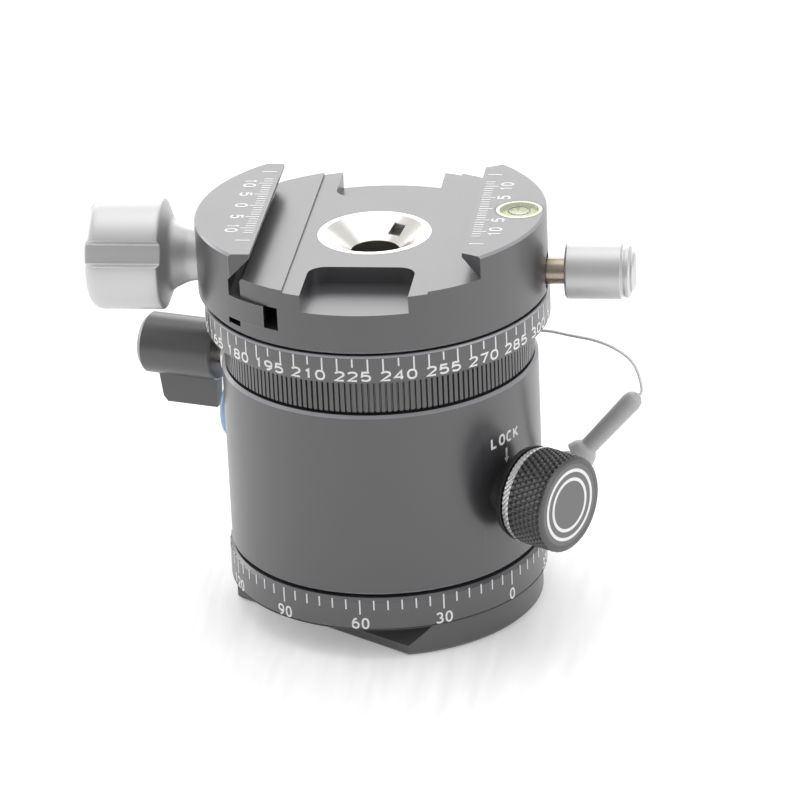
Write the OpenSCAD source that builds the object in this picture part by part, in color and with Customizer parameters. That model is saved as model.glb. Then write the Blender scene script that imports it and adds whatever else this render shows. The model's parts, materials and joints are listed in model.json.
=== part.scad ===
// Panoramic tripod head: base with dovetail foot, panning housing,
// indexing rotor with degree dial, panning clamp disc with a sliding jaw.
// Millimetres, +Z up. Origin: centre of the foot's underside.

/* [Foot and base dial] */
// width of the dovetail across its lower lands
foot_w = 38; // [36:0.1:40]
// radius of the round ends of the foot
foot_r = 27.4; // [25:0.1:28]
// height of the foot plate
foot_h = 5.75; // [5:0.05:7]
// height of the straight land below the dovetail bevel
foot_land = 2.0; // [1.5:0.1:2.5]
// direction that the dovetail's side faces, degrees
foot_turn = -122.6; // [-180:0.1:180]
// outside radius of the lower degree dial
base_dial_r = 28.2; // [26:0.1:30]
// height of the lower degree dial
base_dial_h = 5.98; // [4:0.01:8]
// wall radius of the tripod thread in the foot
thread_r = 4.0; // [2.6:0.1:4.8]
// length of the threaded insert
thread_len = 9.5; // [8:0.1:11]

/* [Housing] */
// outside radius of the housing
body_r = 27.75; // [26:0.05:29]
// height of the housing
body_h = 33.87; // [32:0.01:36]
// inside radius of the housing
body_bore = 22.0; // [21.5:0.1:22.5]
// open seam between lower dial and housing
base_seam = 0.5; // [0.4:0.05:0.8]

/* [Indexing rotor] */
// radius of the knurled grip ring
grip_r = 27.15; // [26:0.05:28]
// number of grooves in the grip ring
grip_grooves = 171; // [120:1:180]
// height of the knurled grip
grip_h = 6.8; // [5:0.1:8]
// how far the upper degree dial stands out past the clamp disc
dial_proud = 0.16; // [0:0.02:0.4]
// height of the upper degree dial
dial_h = 5.0; // [4:0.1:6]
// outside radius of the drum that the index pin enters
drum_r = 20.5; // [20:0.1:20.8]
// number of index stops in a turn
stops = 24; // [12:12:24]

/* [Clamp] */
// outside radius of the clamp disc
disc_r = 29.94; // [29:0.01:31]
// height from the disc's underside to the plate floor
floor_h = 10.48; // [10:0.01:12]
// height of the clamp lips above the floor
lip_h = 4.04; // [3.5:0.01:4.5]
// distance from the axis to the fixed lip's edge
lip_x = 17.47; // [17:0.01:18.5]
// distance that the jaw stands open from its centred place
jaw_open = 1.1; // [0:0.1:1.5]
// half width of the sunk centre of the floor
sunk_x = 12.4; // [11:0.1:13]
// half width of the two end notches
notch_x = 9.2; // [8:0.1:10]
// outside radius of the centre bushing
bush_r = 9.89; // [9:0.01:10.5]
// radius of the hole through the centre bushing
bush_hole = 4.2; // [3:0.1:4.6]
// radius of the bubble level
level_r = 4.0; // [3.5:0.1:4.2]

/* [Knobs] */
// radius of the lobed clamp knob
knob_r = 9.74; // [8:0.01:11]
// length of the lobed clamp knob's full round part
knob_len = 12.9; // [11:0.1:16]
// number of lobes on the clamp knob
knob_lobes = 3; // [3:1:6]
// radius of the small pan lock knob
lock_r = 4.88; // [4:0.01:6]
// length of the small pan lock knob without its cap
lock_len = 9.9; // [8:0.1:14]
// radius of the knurled index knob
index_knob_r = 8.55; // [7:0.05:10]
// length of the knurled index knob
index_knob_len = 8.4; // [6:0.1:10]
// radius of the wing knob's hub
wing_r = 5.45; // [5:0.05:6]
// length of the wing knob's hub
wing_len = 14.4; // [12:0.1:16]
// thickness of the wing
wing_t = 2.2; // [1.5:0.1:3]
// radius of the drag cap
drag_r = 5.9; // [4:0.1:6.2]
// length of the lever arm from its hub
lever_len = 18.7; // [14:0.1:22]
// slant of the lever arm from its own axis, degrees
lever_tilt = 47; // [30:1:60]

/* [Screws] */
// pitch of the clamp and lock screws
pitch = 0.8; // [0.5:0.1:1]
// travel of the jaw from its drawn place to its shut place
jaw_shut = 1.6; // [1:0.1:2]
// travel of the lock pads towards what they brake
pad_travel = 0.4; // [0.2:0.05:0.6]
// travel of the index pin
pin_travel = 2.6; // [2:0.1:3]

/* [Tether] */
// radius of the springy tether wire
wire_r = 0.3; // [0.25:0.05:0.4]

/* [Clearances] */
// running fit of shafts in bores, on the radius
run = 0.06; // [0.03:0.01:0.08]
// open gap between parts that must never touch
gap = 0.32; // [0.3:0.01:0.45]
// sliding fit of the jaw, on each face
slide_fit = 0.05; // [0.03:0.01:0.08]
// open gap round the ends of the tether wire
wire_fit = 0.15; // [0.1:0.01:0.2]

/* [Hidden] */
$fn = 96;
eps = 0.01;

// heights
base_z = foot_h;
base_top = base_z + base_dial_h;
body_z = base_top + base_seam;
body_top = body_z + body_h;
ring_z = body_top + gap - 0.02;
dial_z = ring_z + grip_h;
dial_top = dial_z + dial_h;
disc_z = dial_top + gap;
side_floor = disc_z + floor_h;
sunk = 0.4;
floor_z = side_floor - sunk;
lip_top = side_floor + lip_h;

dial_r = disc_r + dial_proud;

// foot screws
screw_circle = 12.6;
screw_shank = 1.6;

// base inside the housing
hub_r = body_bore - 1.0;
hub_top = body_z + 10.37;
web_low = hub_top + 0.5;
web_thick = 1.6;
web_high = web_low + web_thick;
post_r = 7.95;
nut_r = 12;

// index drum
drum_wall = 4;
drum_in = drum_r - drum_wall;
drum_z = web_high + gap;
pin_z = drum_z + 2.17;
flange_r = grip_r - 1.55;
flange_t = 3.0;
flange_screws = (drum_r + flange_r) / 2 + 0.15;
web_z = ring_z + flange_t;
web_t = 3.0;
web_top = web_z + web_t;
sleeve_out = 10.0;
sleeve_in = 8.3;
sleeve_top = disc_z + 5.35;
bushing_z = drum_z + 9.0;
bushing_h = 5.0;

// clamp disc
spin_r = sleeve_in - gap;
spin_low = 6.9;
pocket_top = sleeve_top + gap;
flange_top = disc_z + 1.38;
tongue_z0 = disc_z + 2.88;
tongue_z1 = disc_z + 6.98;
jaw_x = -lip_x - jaw_open;
land = 0.74;
slope_z = lip_top - land;
jaw_face = jaw_x - 3.92;
floor_edge = jaw_face + 2.16;
edge_cut = 0.5;
tongue_end = jaw_face + 6.6;
pocket_x = tongue_end + 2.5;
clamp_axis = disc_z + 5.83;
screw_r = 2.5;
bore_end = -(sleeve_out + gap + 0.35);
boss_y = 4.6;
guide_y = 12.2;
spring_y = 7.4;
guide_r = 1.5;
guide_x = jaw_face - 1.1;
guide_end = -7.5;
guide_z = (tongue_z0 + tongue_z1) / 2;
notch_floor = side_floor - 3.4;
cut_y = 21.2;

// level
level_x = 25.3;
level_z = lip_top - 3.4;

// pan lock
lock_z = disc_z + 3.22;
lock_x = disc_r + 3.15;
lock_pad_r = 1.6;
lock_shaft = 2.35;

// radius of the flats that the knobs' seats are cut to
seat_r = body_r - 0.55;

// index knob
index_az = -31.9;
barrel_r = 5.0;
collar_r0 = body_r + 3.15;
index_r0 = body_r + 4.68;
index_r1 = index_r0 + index_knob_len;
pin_tip = 1.22;
pin_shaft = 2.4;
pin_r0 = drum_r + gap + 0.05;
shaft_r0 = body_bore + 3 * gap + pin_travel + 0.8 + 0.4;
collar_t = 1.0;
slot_end = index_r0 + 5.5;
cam_r = index_r0 + 5.17;

// wing knob, drag cap
wing_az = 165;
wing_z = body_top - 3.44;
wing_r0 = body_r + 2.92;
wing_r1 = wing_r0 + wing_len;
pad_r = 2.4;
drag_shaft_r = 2.5;
drag_az = 165;
drag_z = body_z + 20.1;
drag_face = body_r + 1.45;

// lever
lever_az = 8;
lever_z = body_z + 8.47;
lever_x = body_r + 3.35;
lever_pad_r = 1.9;
lever_screw_end = lever_x + 2.5;

// tether
tether_az = 44;
tether_z = body_top - 5.1;

// ---- helpers ----

// child's +Z points outwards from the main axis at angle az and height z
module radial(az, z) rotate([0, 0, az]) translate([0, 0, z]) rotate([0, 90, 0]) children();

// solid of revolution about Z from [radius, height] corners
module lathe(pts) rotate_extrude() polygon(pts);

// rod along +X from x0 to x1 at height z and side y
module rod_x(x0, x1, r, z, y = 0) translate([x0, y, z]) rotate([0, 90, 0]) cylinder(r = r, h = x1 - x0);

// section in X and Z carried across Y
module across(len) rotate([90, 0, 0]) linear_extrude(len, center = true) children();

// ring of copies around Z
module around(n, r, start = 0) for (i = [0:n - 1]) rotate([0, 0, start + i * 360 / n]) translate([r, 0, 0]) children();

// outline of a fine V-grooved rim
module grooved(r, n, depth) polygon([for (i = [0:2 * n - 1]) let (a = i * 180 / n, q = (i % 2 == 0) ? r : r - depth) [q * cos(a), q * sin(a)]]);

// ring or washer with its lower face at z
module washer(ro, ri, z, h) translate([0, 0, z]) difference() {
    cylinder(r = ro, h = h);
    translate([0, 0, -1]) cylinder(r = ri, h = h + 2);
}

// cap screw standing on z = 0, head up, shank down
module cap_screw(head_r, head_h, shank_r, shank_h) difference() {
    union() {
        cylinder(r = head_r, h = head_h, $fn = 48);
        translate([0, 0, -shank_h]) cylinder(r = shank_r, h = shank_h + eps, $fn = 48);
    }
    translate([0, 0, head_h * 0.4]) cylinder(r = shank_r * 0.85, h = head_h, $fn = 6);
}

// ---- base ----

module foot_profile() {
    hw = foot_w / 2;
    nw = hw - (foot_h - foot_land);
    polygon([[-hw + 0.5, 0], [hw - 0.5, 0], [hw, 0.5], [hw, foot_land], [nw, foot_h],
        [-nw, foot_h], [-hw, foot_land], [-hw, 0.5]]);
}

module base_plate() color("dimgray") difference() {
    intersection() {
        lathe([[0, 0], [foot_r - 0.7, 0], [foot_r, 0.7], [foot_r, foot_h], [0, foot_h]]);
        rotate([0, 0, foot_turn]) across(4 * foot_r) foot_profile();
    }
    translate([0, 0, -1]) cylinder(r = 8, h = foot_h + 2);
    around(3, screw_circle, foot_turn + 90) {
        translate([0, 0, -1]) cylinder(r = screw_shank, h = foot_h + 2, $fn = 48);
        translate([0, 0, -1]) cylinder(r = 3.0, h = 3.2, $fn = 48);
    }
}

module base_dial() color("dimgray") difference() {
    translate([0, 0, base_z]) lathe([[0, 0], [base_dial_r - 0.3, 0], [base_dial_r, 0.3],
        [base_dial_r, base_dial_h - 0.6], [base_dial_r - 0.6, base_dial_h], [0, base_dial_h]]);
    translate([0, 0, base_z - 1]) cylinder(r = 8, h = base_dial_h + 2);
    around(3, screw_circle, foot_turn + 90) translate([0, 0, base_z - 1]) cylinder(r = screw_shank, h = base_dial_h + 2, $fn = 48);
}

module base_insert() color("silver") difference() {
    cylinder(r = 8, h = thread_len);
    translate([0, 0, -1]) cylinder(r = thread_r, h = thread_len + 2);
}

module base_screws() color("silver") around(3, screw_circle, foot_turn + 90)
    translate([0, 0, 2.2]) rotate([180, 0, 0]) cap_screw(2.9, 2.0, screw_shank, 14.3);

module base_hub() color("gray") difference() {
    union() {
        translate([0, 0, base_top]) cylinder(r = hub_r, h = hub_top - base_top);
        translate([0, 0, hub_top - eps]) cylinder(r = post_r, h = web_high + run + 3.2 - hub_top);
    }
    translate([0, 0, base_top - 1]) cylinder(r = 4.5, h = 30);
    around(3, screw_circle, foot_turn + 90) translate([0, 0, base_top - 1]) cylinder(r = screw_shank, h = 6, $fn = 48);
}

module base_washer() color("ivory") washer(hub_r - 4, post_r + 0.4, hub_top, web_low - hub_top - run);

module pivot_nut() color("goldenrod") difference() {
    washer(nut_r, post_r, web_high + run, 2.6);
    around(4, nut_r, 45) translate([0, 0, web_high - 1]) cylinder(r = 1.2, h = 6, $fn = 32);
}

// ---- housing ----

module housing() color("dimgray") difference() {
    lathe([[10, web_low], [body_bore, web_low], [body_bore, body_z], [body_r - 0.5, body_z],
        [body_r, body_z + 0.5], [body_r, body_top - 0.5], [body_r - 0.5, body_top],
        [body_bore, body_top], [body_bore, web_high], [10, web_high]]);
    radial(index_az, pin_z) translate([0, 0, body_bore - 1]) cylinder(r = barrel_r, h = 40);
    radial(index_az, pin_z) translate([0, 0, seat_r - 0.1]) cylinder(r = 7.4, h = 4);
    radial(wing_az, wing_z) translate([0, 0, body_bore - 1]) cylinder(r = pad_r + run, h = 40);
    radial(wing_az, wing_z) translate([0, 0, seat_r]) cylinder(r = 4.7, h = 4);
    radial(drag_az, drag_z) translate([0, 0, body_bore - 1]) cylinder(r = drag_shaft_r + run, h = 40);
    radial(drag_az, drag_z) translate([0, 0, seat_r - 0.1]) cylinder(r = drag_r + gap, h = 4);
    radial(lever_az, lever_z) translate([0, 0, body_bore - 1]) cylinder(r = lever_pad_r + run, h = 40);
    radial(lever_az, lever_z) translate([0, 0, seat_r]) cylinder(r = 4.6, h = 4);
    radial(tether_az, tether_z) translate([0, 0, body_bore + 2]) cylinder(r = 1.3, h = body_r - body_bore, $fn = 48);
}

module post_bush() color("goldenrod") washer(10, post_r + run, web_low, web_thick);

module top_washer() color("ivory") washer(flange_r - 0.4, body_bore + 0.3, body_top, ring_z - run - body_top);

module index_bush() color("goldenrod") washer(body_bore, drum_r + run, bushing_z, bushing_h);

module index_barrel() color("dimgray") radial(index_az, pin_z) difference() {
    union() {
        translate([0, 0, body_bore + gap]) cylinder(r = barrel_r, h = slot_end - body_bore - gap);
        translate([0, 0, seat_r - 0.1]) cylinder(r = 7.4, h = collar_r0 - seat_r + 0.1 + eps);
        translate([0, 0, collar_r0]) cylinder(r1 = 8.0, r2 = 8.4, h = index_r0 - gap - collar_r0);
    }
    translate([0, 0, body_bore - 1]) cylinder(r = pin_tip + run, h = 3);
    translate([0, 0, body_bore + gap + 0.8]) cylinder(r = 3.9, h = slot_end - 3.5 - body_bore - gap - 0.8);
    translate([0, 0, slot_end - 4]) cylinder(r = pin_shaft + run, h = 10);
    translate([-1.05, -8, slot_end - 4.0]) cube([2.1, 16, 10]);
}

// one unbroken coil along +Z from z = 0, its wire's ends cut square
coil_sides = 8;
function coil_pts(r, w, pitch_len, turns, steps) = [for (i = [0:turns * steps]) let (a = i * 360 / steps, sl = atan2(pitch_len, 2 * PI * r))
    for (k = [0:coil_sides - 1]) let (b = k * 360 / coil_sides, q = r + w * cos(b), h = w * sin(b))
        [q * cos(a) + h * sin(sl) * sin(a), q * sin(a) - h * sin(sl) * cos(a), i * pitch_len / steps + h * cos(sl)]];
function tube_faces(n, m) = concat(
    [[for (k = [0:m - 1]) k]],
    [for (i = [0:n - 2]) for (k = [0:m - 1]) [i * m + k, (i + 1) * m + k, (i + 1) * m + (k + 1) % m]],
    [for (i = [0:n - 2]) for (k = [0:m - 1]) [i * m + k, (i + 1) * m + (k + 1) % m, i * m + (k + 1) % m]],
    [[for (k = [0:m - 1]) (n - 1) * m + m - 1 - k]]);
module coil(r, w, pitch_len, turns, steps = 16)
    polyhedron(points = coil_pts(r, w, pitch_len, turns, steps), faces = tube_faces(turns * steps + 1, coil_sides));

spring_r0 = shaft_r0 + collar_t + 0.35;
spring_len = slot_end - 3.5 - spring_r0 - 0.4;
module index_spring() color("silver") radial(index_az, pin_z)
    translate([0, 0, spring_r0]) coil(3.2, 0.3, spring_len / 5, 5);

module tether_anchor() color("silver") radial(tether_az, tether_z) difference() {
    union() {
        translate([0, 0, body_bore + 2]) cylinder(r = 1.3, h = body_r - body_bore - 2, $fn = 48);
        translate([0, 0, body_r - eps]) cylinder(r1 = 2.0, r2 = 1.6, h = 2.0, $fn = 48);
    }
    translate([0, 0, body_r + 0.4 - wire_fit]) cylinder(r = wire_r + wire_fit, h = 3, $fn = 24);
}

// points that the tether wire runs through, from its anchor to the lever's tip
anchor_dir = [cos(tether_az), sin(tether_az), 0];
anchor_at = (body_r + 0.4) * anchor_dir + [0, 0, tether_z];
arm_dir = [cos(lever_tilt) * cos(lever_az), cos(lever_tilt) * sin(lever_az), sin(lever_tilt)];
arm_end = lever_len - 0.6;
tip_at = [lever_x * cos(lever_az), lever_x * sin(lever_az), lever_z] + arm_end * arm_dir;
wire_pts = [anchor_at,
    anchor_at + 1.3 * anchor_dir,
    anchor_at + 2.6 * anchor_dir,
    [27.2, 19.5, body_top - 4.1],
    [32.0, 15.0, body_top - 3.0],
    [37.4, 11.0, body_top - 2.4],
    [41.6, 8.2, body_top - 3.2],
    [44.2, 6.9, body_top - 5.4],
    tip_at + 3.4 * arm_dir,
    tip_at + 1.7 * arm_dir,
    tip_at];
function spline(p, i, t) = let (n = len(p) - 1, a = p[max(0, i - 1)], b = p[i], c = p[min(n, i + 1)], d = p[min(n, i + 2)])
    0.5 * (2 * b + (c - a) * t + (2 * a - 5 * b + 4 * c - d) * t * t + (3 * b - a - 3 * c + d) * t * t * t);
wire_steps = 5;
wire_sides = 12;
wire_line = [for (i = [0:len(wire_pts) - 2]) for (k = [0:wire_steps - 1]) spline(wire_pts, i, k / wire_steps)];
wire_all = concat(wire_line, [wire_pts[len(wire_pts) - 1]]);
function unit(v) = v / norm(v);
function heading(p, i) = unit(p[min(len(p) - 1, i + 1)] - p[max(0, i - 1)]);
wire_rings = [for (i = [0:len(wire_all) - 1]) let (t = heading(wire_all, i), u = unit(cross(t, [0.2, 1, 0])), v = cross(t, u))
    for (k = [0:wire_sides - 1]) wire_all[i] + wire_r * (u * cos(k * 360 / wire_sides) + v * sin(k * 360 / wire_sides))];
wire_n = len(wire_all);
module tether_wire() color("silver") polyhedron(points = wire_rings, faces = tube_faces(wire_n, wire_sides));

// ---- indexing rotor ----

module index_ring() color("dimgray") difference() {
    union() {
        translate([0, 0, ring_z]) linear_extrude(grip_h) grooved(grip_r, grip_grooves, 0.45);
        translate([0, 0, dial_z - eps]) lathe([[0, 0], [dial_r - 0.3, 0], [dial_r, 0.3],
            [dial_r, dial_h - 0.3], [dial_r - 0.3, dial_h + eps], [0, dial_h + eps]]);
    }
    translate([0, 0, ring_z - 1]) cylinder(r = flange_r, h = flange_t + 1);
    translate([0, 0, ring_z - 1]) cylinder(r = drum_r, h = 30);
    around(6, flange_screws, 10) translate([0, 0, web_z - 1]) cylinder(r = 1.0, h = 6, $fn = 48);
}

module index_drum() color("gray") difference() {
    union() {
        lathe([[drum_in, drum_z], [drum_r, drum_z], [drum_r, ring_z], [flange_r, ring_z],
            [flange_r, web_z], [drum_r, web_z], [drum_r, web_top], [sleeve_out, web_top],
            [sleeve_out, sleeve_top], [sleeve_in, sleeve_top], [sleeve_in, web_top - 0.5],
            [spin_low + run, web_top - 0.5], [spin_low + run, web_z], [drum_in, web_z]]);
    }
    for (i = [0:stops - 1]) radial(index_az + i * 360 / stops, pin_z) translate([0, 0, drum_in - 2]) cylinder(r = pin_tip + 0.08, h = drum_wall + 4, $fn = 32);
    around(6, flange_screws, 10) {
        translate([0, 0, ring_z - 1]) cylinder(r = 1.0, h = 8, $fn = 48);
        translate([0, 0, ring_z - 1]) cylinder(r = 1.9, h = 2.2, $fn = 48);
    }
    washer(drum_r + 1, drum_r - 0.5, bushing_z - 0.72, 0.7);
}

module drum_screws() color("silver") around(6, flange_screws, 10)
    translate([0, 0, ring_z + 1.2]) rotate([180, 0, 0]) cap_screw(1.8, 1.1, 1.0, 5.6);

module drum_circlip() color("silver") difference() {
    washer(drum_r + 1.0, drum_r - 0.5, bushing_z - 0.7, 0.64);
    translate([0, -1.5, bushing_z - 2]) cube([30, 3, 4]);
}

module thrust_ring() color("ivory") washer(drum_r - 0.3, sleeve_out + 0.4, web_top, disc_z - run - web_top);

// ---- clamp disc ----

module disc_section() polygon([
    [-disc_r - 2, disc_z], [disc_r + 2, disc_z], [disc_r + 2, lip_top], [lip_x, lip_top],
    [lip_x, slope_z], [lip_x + slope_z - side_floor, side_floor], [sunk_x, side_floor],
    [sunk_x, floor_z], [-sunk_x, floor_z], [-sunk_x, side_floor],
    [floor_edge + edge_cut, side_floor], [floor_edge, side_floor - edge_cut], [floor_edge, tongue_z1], [pocket_x, tongue_z1],
    [pocket_x, tongue_z0], [floor_edge - 0.3, tongue_z0], [floor_edge - 0.3, flange_top],
    [-disc_r - 2, flange_top]]);

// notch that opens outwards at one end of the floor, with round inner corners
module end_notch(y0, side) translate([0, 0, notch_floor]) linear_extrude(20) scale([1, side]) union() {
    for (s = [-1, 1]) translate([s * (notch_x - 3), y0 + 3]) circle(r = 3);
    translate([-notch_x + 3, y0]) square([2 * notch_x - 6, 40]);
    translate([-notch_x, y0 + 3]) square([2 * notch_x, 40]);
}

module clamp_disc() color("dimgray") difference() {
    intersection() {
        lathe([[0, disc_z], [disc_r - 0.4, disc_z], [disc_r, disc_z + 0.4],
            [disc_r, lip_top - 0.4], [disc_r - 0.4, lip_top], [0, lip_top]]);
        union() {
            across(4 * disc_r) disc_section();
            // boss that carries the clamp screw's thread
            translate([floor_edge, -boss_y, tongue_z0 - eps]) cube([pocket_x - floor_edge + eps, 2 * boss_y, tongue_z1 - tongue_z0 + 2 * eps]);
        }
    }
    for (s = [-1, 1]) translate([0, 0, side_floor]) linear_extrude(20)
        polygon([[lip_x - 2, s * 18.9], [lip_x + 5, s * 22.4], [lip_x - 2, s * 32]]);
    end_notch(15.7, -1);
    end_notch(16.9, 1);
    // centre: bushing seat, spindle and sleeve room
    translate([0, 0, floor_z - 1.6]) cylinder(r = bush_r, h = 10);
    translate([0, 0, disc_z]) cylinder(r = 7.0, h = 20);
    translate([0, 0, disc_z - 1]) cylinder(r = sleeve_out + gap, h = pocket_top - disc_z + 1);
    // clamp screw and its nut
    rod_x(-40, bore_end, screw_r + run, clamp_axis);
    rod_x(floor_edge - 1, bore_end, 3.6, clamp_axis);
    // relief in the rim, under the clamp knob's neck and its washer
    rod_x(-2 * disc_r, neck_x + run + washer_t + jaw_shut + gap, jaw_washer_r + gap, clamp_axis);
    // guides and springs
    for (s = [-1, 1]) {
        rod_x(pocket_x - 1, guide_end, guide_r, guide_z, s * guide_y);
        rod_x(pocket_x - 1, pocket_x + 1.9, 1.7, guide_z, s * spring_y);
    }
    // pan lock
    rod_x(sleeve_out, 40, lock_pad_r + run, lock_z);
    rod_x(lock_pad_x + 4.2 - pad_travel - 0.1, 40, lock_shaft + run, lock_z);
    rod_x(disc_r - 0.5, 40, 3.4, lock_z);
    // level
    translate([level_x, 0, level_z]) cylinder(r = level_r, h = 10);
}

module centre_bushing() color("silver") difference() {
    union() {
        translate([0, 0, floor_z - 1.6]) cylinder(r = bush_r, h = 1.6);
        translate([0, 0, pocket_top - 4]) cylinder(r = 7.0, h = floor_z - pocket_top + 3);
    }
    translate([0, 0, disc_z - 10]) cylinder(r = bush_hole, h = 40);
    translate([0, 0, floor_z - 3.2]) cylinder(r1 = bush_hole, r2 = bush_r - 1.0, h = 3.2 + eps);
    rotate([0, 0, 60]) translate([bush_hole - 1, -1.2, floor_z - 2.4]) cube([4.2, 2.4, 5]);
}

module clamp_spindle() color("silver") difference() {
    lathe([[bush_hole, ring_z - 2.2], [spin_low, ring_z - 2.2], [spin_low, web_top - 0.5 + gap],
        [spin_r, web_top - 0.5 + gap], [spin_r, pocket_top], [7.0, pocket_top],
        [7.0, pocket_top - 4], [bush_hole, pocket_top - 4]]);
}

module spindle_nut() color("goldenrod") difference() {
    washer(11, spin_low, ring_z - 0.4, flange_t + 0.4 - run);
    around(4, 11, 45) translate([0, 0, ring_z - 2]) cylinder(r = 1.2, h = 8, $fn = 32);
}

module clamp_nut() color("goldenrod") difference() {
    rod_x(floor_edge, bore_end, 3.6, clamp_axis);
    rod_x(floor_edge - 1, bore_end + 1, screw_r + run, clamp_axis);
}

module guide_pins() color("silver") for (s = [-1, 1]) rod_x(guide_x, guide_end, guide_r, guide_z, s * guide_y);

jaw_spring_x = tongue_end - 4.4;
jaw_spring_len = pocket_x + 1.9 - jaw_spring_x - 0.6;
module jaw_springs() color("silver") for (s = [-1, 1])
    translate([jaw_spring_x, s * spring_y, guide_z]) rotate([0, 90, 0]) coil(1.2, 0.22, jaw_spring_len / 7, 7, 12);

module level_cup() color("gray") translate([level_x, 0, level_z]) difference() {
    cylinder(r = level_r, h = 3.4);
    translate([0, 0, 0.6]) cylinder(r = level_r - 0.6, h = 4);
}

module level_fluid() color("yellow") translate([level_x, 0, level_z + 0.6]) difference() {
    cylinder(r = level_r - 0.6, h = 2.0);
    translate([0.3, 0.2, 1.4]) cylinder(r1 = 1.1, r2 = 1.4, h = 0.7, $fn = 48);
}

module level_lens() color("white") translate([level_x, 0, level_z + 2.6]) cylinder(r = level_r - 0.6, h = 0.7);

// ---- jaw ----

module jaw_section() polygon([
    [-disc_r - 4, flange_top + slide_fit], [jaw_face - 0.2, flange_top + slide_fit],
    [jaw_face - 0.2, tongue_z0 + slide_fit], [tongue_end, tongue_z0 + slide_fit],
    [tongue_end, tongue_z1 - slide_fit], [jaw_face, tongue_z1 - slide_fit],
    [jaw_face, slope_z + jaw_face - jaw_x], [jaw_x, slope_z], [jaw_x, lip_top],
    [-disc_r - 4, lip_top]]);

module clamp_jaw() color("dimgray") difference() {
    intersection() {
        translate([-jaw_open, 0, 0]) lathe([[0, disc_z], [disc_r, disc_z],
            [disc_r, lip_top - 0.4], [disc_r - 0.4, lip_top], [0, lip_top]]);
        across(4 * disc_r) jaw_section();
    }
    for (s = [-1, 1]) translate([jaw_face, s == 1 ? cut_y : -cut_y - 20, tongue_z1]) cube([20, 20, 20]);
    rod_x(-40, 0, screw_r + run, clamp_axis);
    rod_x(-40, neck_x + run + washer_t, jaw_washer_r + 0.7, clamp_axis);
    // slot that the disc's boss stands in
    translate([jaw_face, -boss_y - gap, tongue_z0 - 1]) cube([20, 2 * (boss_y + gap), tongue_z1 - tongue_z0 + 2]);
    for (s = [-1, 1]) {
        rod_x(guide_x - jaw_shut - 0.7, 0, guide_r + run, guide_z, s * guide_y);
        rod_x(tongue_end - 4.7, 0, 1.7, guide_z, s * spring_y);
    }
}

jaw_washer_r = 4.9;
washer_t = 0.5;
module jaw_washer() color("silver") difference() {
    rod_x(neck_x + run, neck_x + run + washer_t, jaw_washer_r, clamp_axis);
    rod_x(-40, 0, screw_r + run, clamp_axis);
}

// ---- clamp knob ----

neck_x = -disc_r - jaw_open + 0.44 - run;
knob_x1 = neck_x - 6.37;
knob_x0 = knob_x1 - knob_len;

module knob_form() lathe([
    [0, 0], [knob_r - 1.6, 0], [knob_r - 0.8, 0.25], [knob_r - 0.25, 0.8], [knob_r, 1.5],
    [knob_r, knob_len], [knob_r - 0.45, knob_len + 0.28], [knob_r - 1.4, knob_len + 0.7],
    [knob_r - 3.15, knob_len + 1.23], [knob_r - 3.65, knob_len + 1.73],
    [knob_r - 4.15, knob_len + 2.63], [knob_r - 4.55, knob_len + 3.53],
    [knob_r - 4.95, knob_len + 4.4], [knob_r - 5.1, knob_len + 5.4], [knob_r - 5.14, knob_len + 6.37],
    [0, knob_len + 6.37]]);

module clamp_knob() color("silver") translate([knob_x0, 0, clamp_axis]) rotate([0, 90, 0]) difference() {
    knob_form();
    // flat grooves between the lobes
    around(knob_lobes, knob_r, -111) translate([0, 0, -1])
        linear_extrude(knob_len + 1.3) polygon([[-1.35, -1.75], [-1.35, 1.75], [2.15, 3.5], [2.15, -3.5]]);
    translate([0, 0, -1]) cylinder(r = 5.6, h = 2.0);
    translate([0, 0, 0]) cylinder(r = screw_r, h = 40);
}

module knob_cap() color("silver") translate([knob_x0, 0, clamp_axis]) rotate([0, 90, 0])
    translate([0, 0, 0.2]) cylinder(r = 5.6, h = 0.8);

module clamp_screw() color("silver") difference() {
    rod_x(knob_x0 + 1.0, bore_end - 2.35, screw_r, clamp_axis);
    translate([knob_x0 + 0.9, 0, clamp_axis]) rotate([0, 90, 0]) cylinder(r = 1.4, h = 2.5, $fn = 6);
}

// ---- pan lock ----

lock_pad_x = sleeve_out + gap + pad_travel;
module lock_pad() color("goldenrod") rod_x(lock_pad_x, lock_pad_x + 4.2, lock_pad_r, lock_z);

module lock_screw() color("tan") rod_x(lock_pad_x + 4.2, lock_x + 4, lock_shaft, lock_z);

module lock_knob() color("silver") translate([lock_x, 0, lock_z]) rotate([0, 90, 0]) difference() {
    lathe([[0, 0], [lock_r - 0.35, 0], [lock_r, 0.35], [lock_r, lock_len - 0.2],
        [lock_r - 0.45, lock_len], [lock_r - 0.45, lock_len + 0.3], [lock_r - 0.25, lock_len + 0.5],
        [lock_r - 0.3, lock_len + 1.1], [lock_r - 0.6, lock_len + 1.4], [0, lock_len + 1.4]]);
    cylinder(r = lock_shaft, h = 4);
    translate([0, 0, lock_len]) cylinder(r = lock_r - 1.4, h = 2);
}

module lock_cap() color("silver") translate([lock_x, 0, lock_z]) rotate([0, 90, 0])
    translate([0, 0, lock_len]) lathe([[0, 0], [lock_r - 1.4, 0], [lock_r - 1.4, 1.7], [lock_r - 1.8, 2.1], [0, 2.1]]);

// ---- index knob and pin ----

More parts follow.
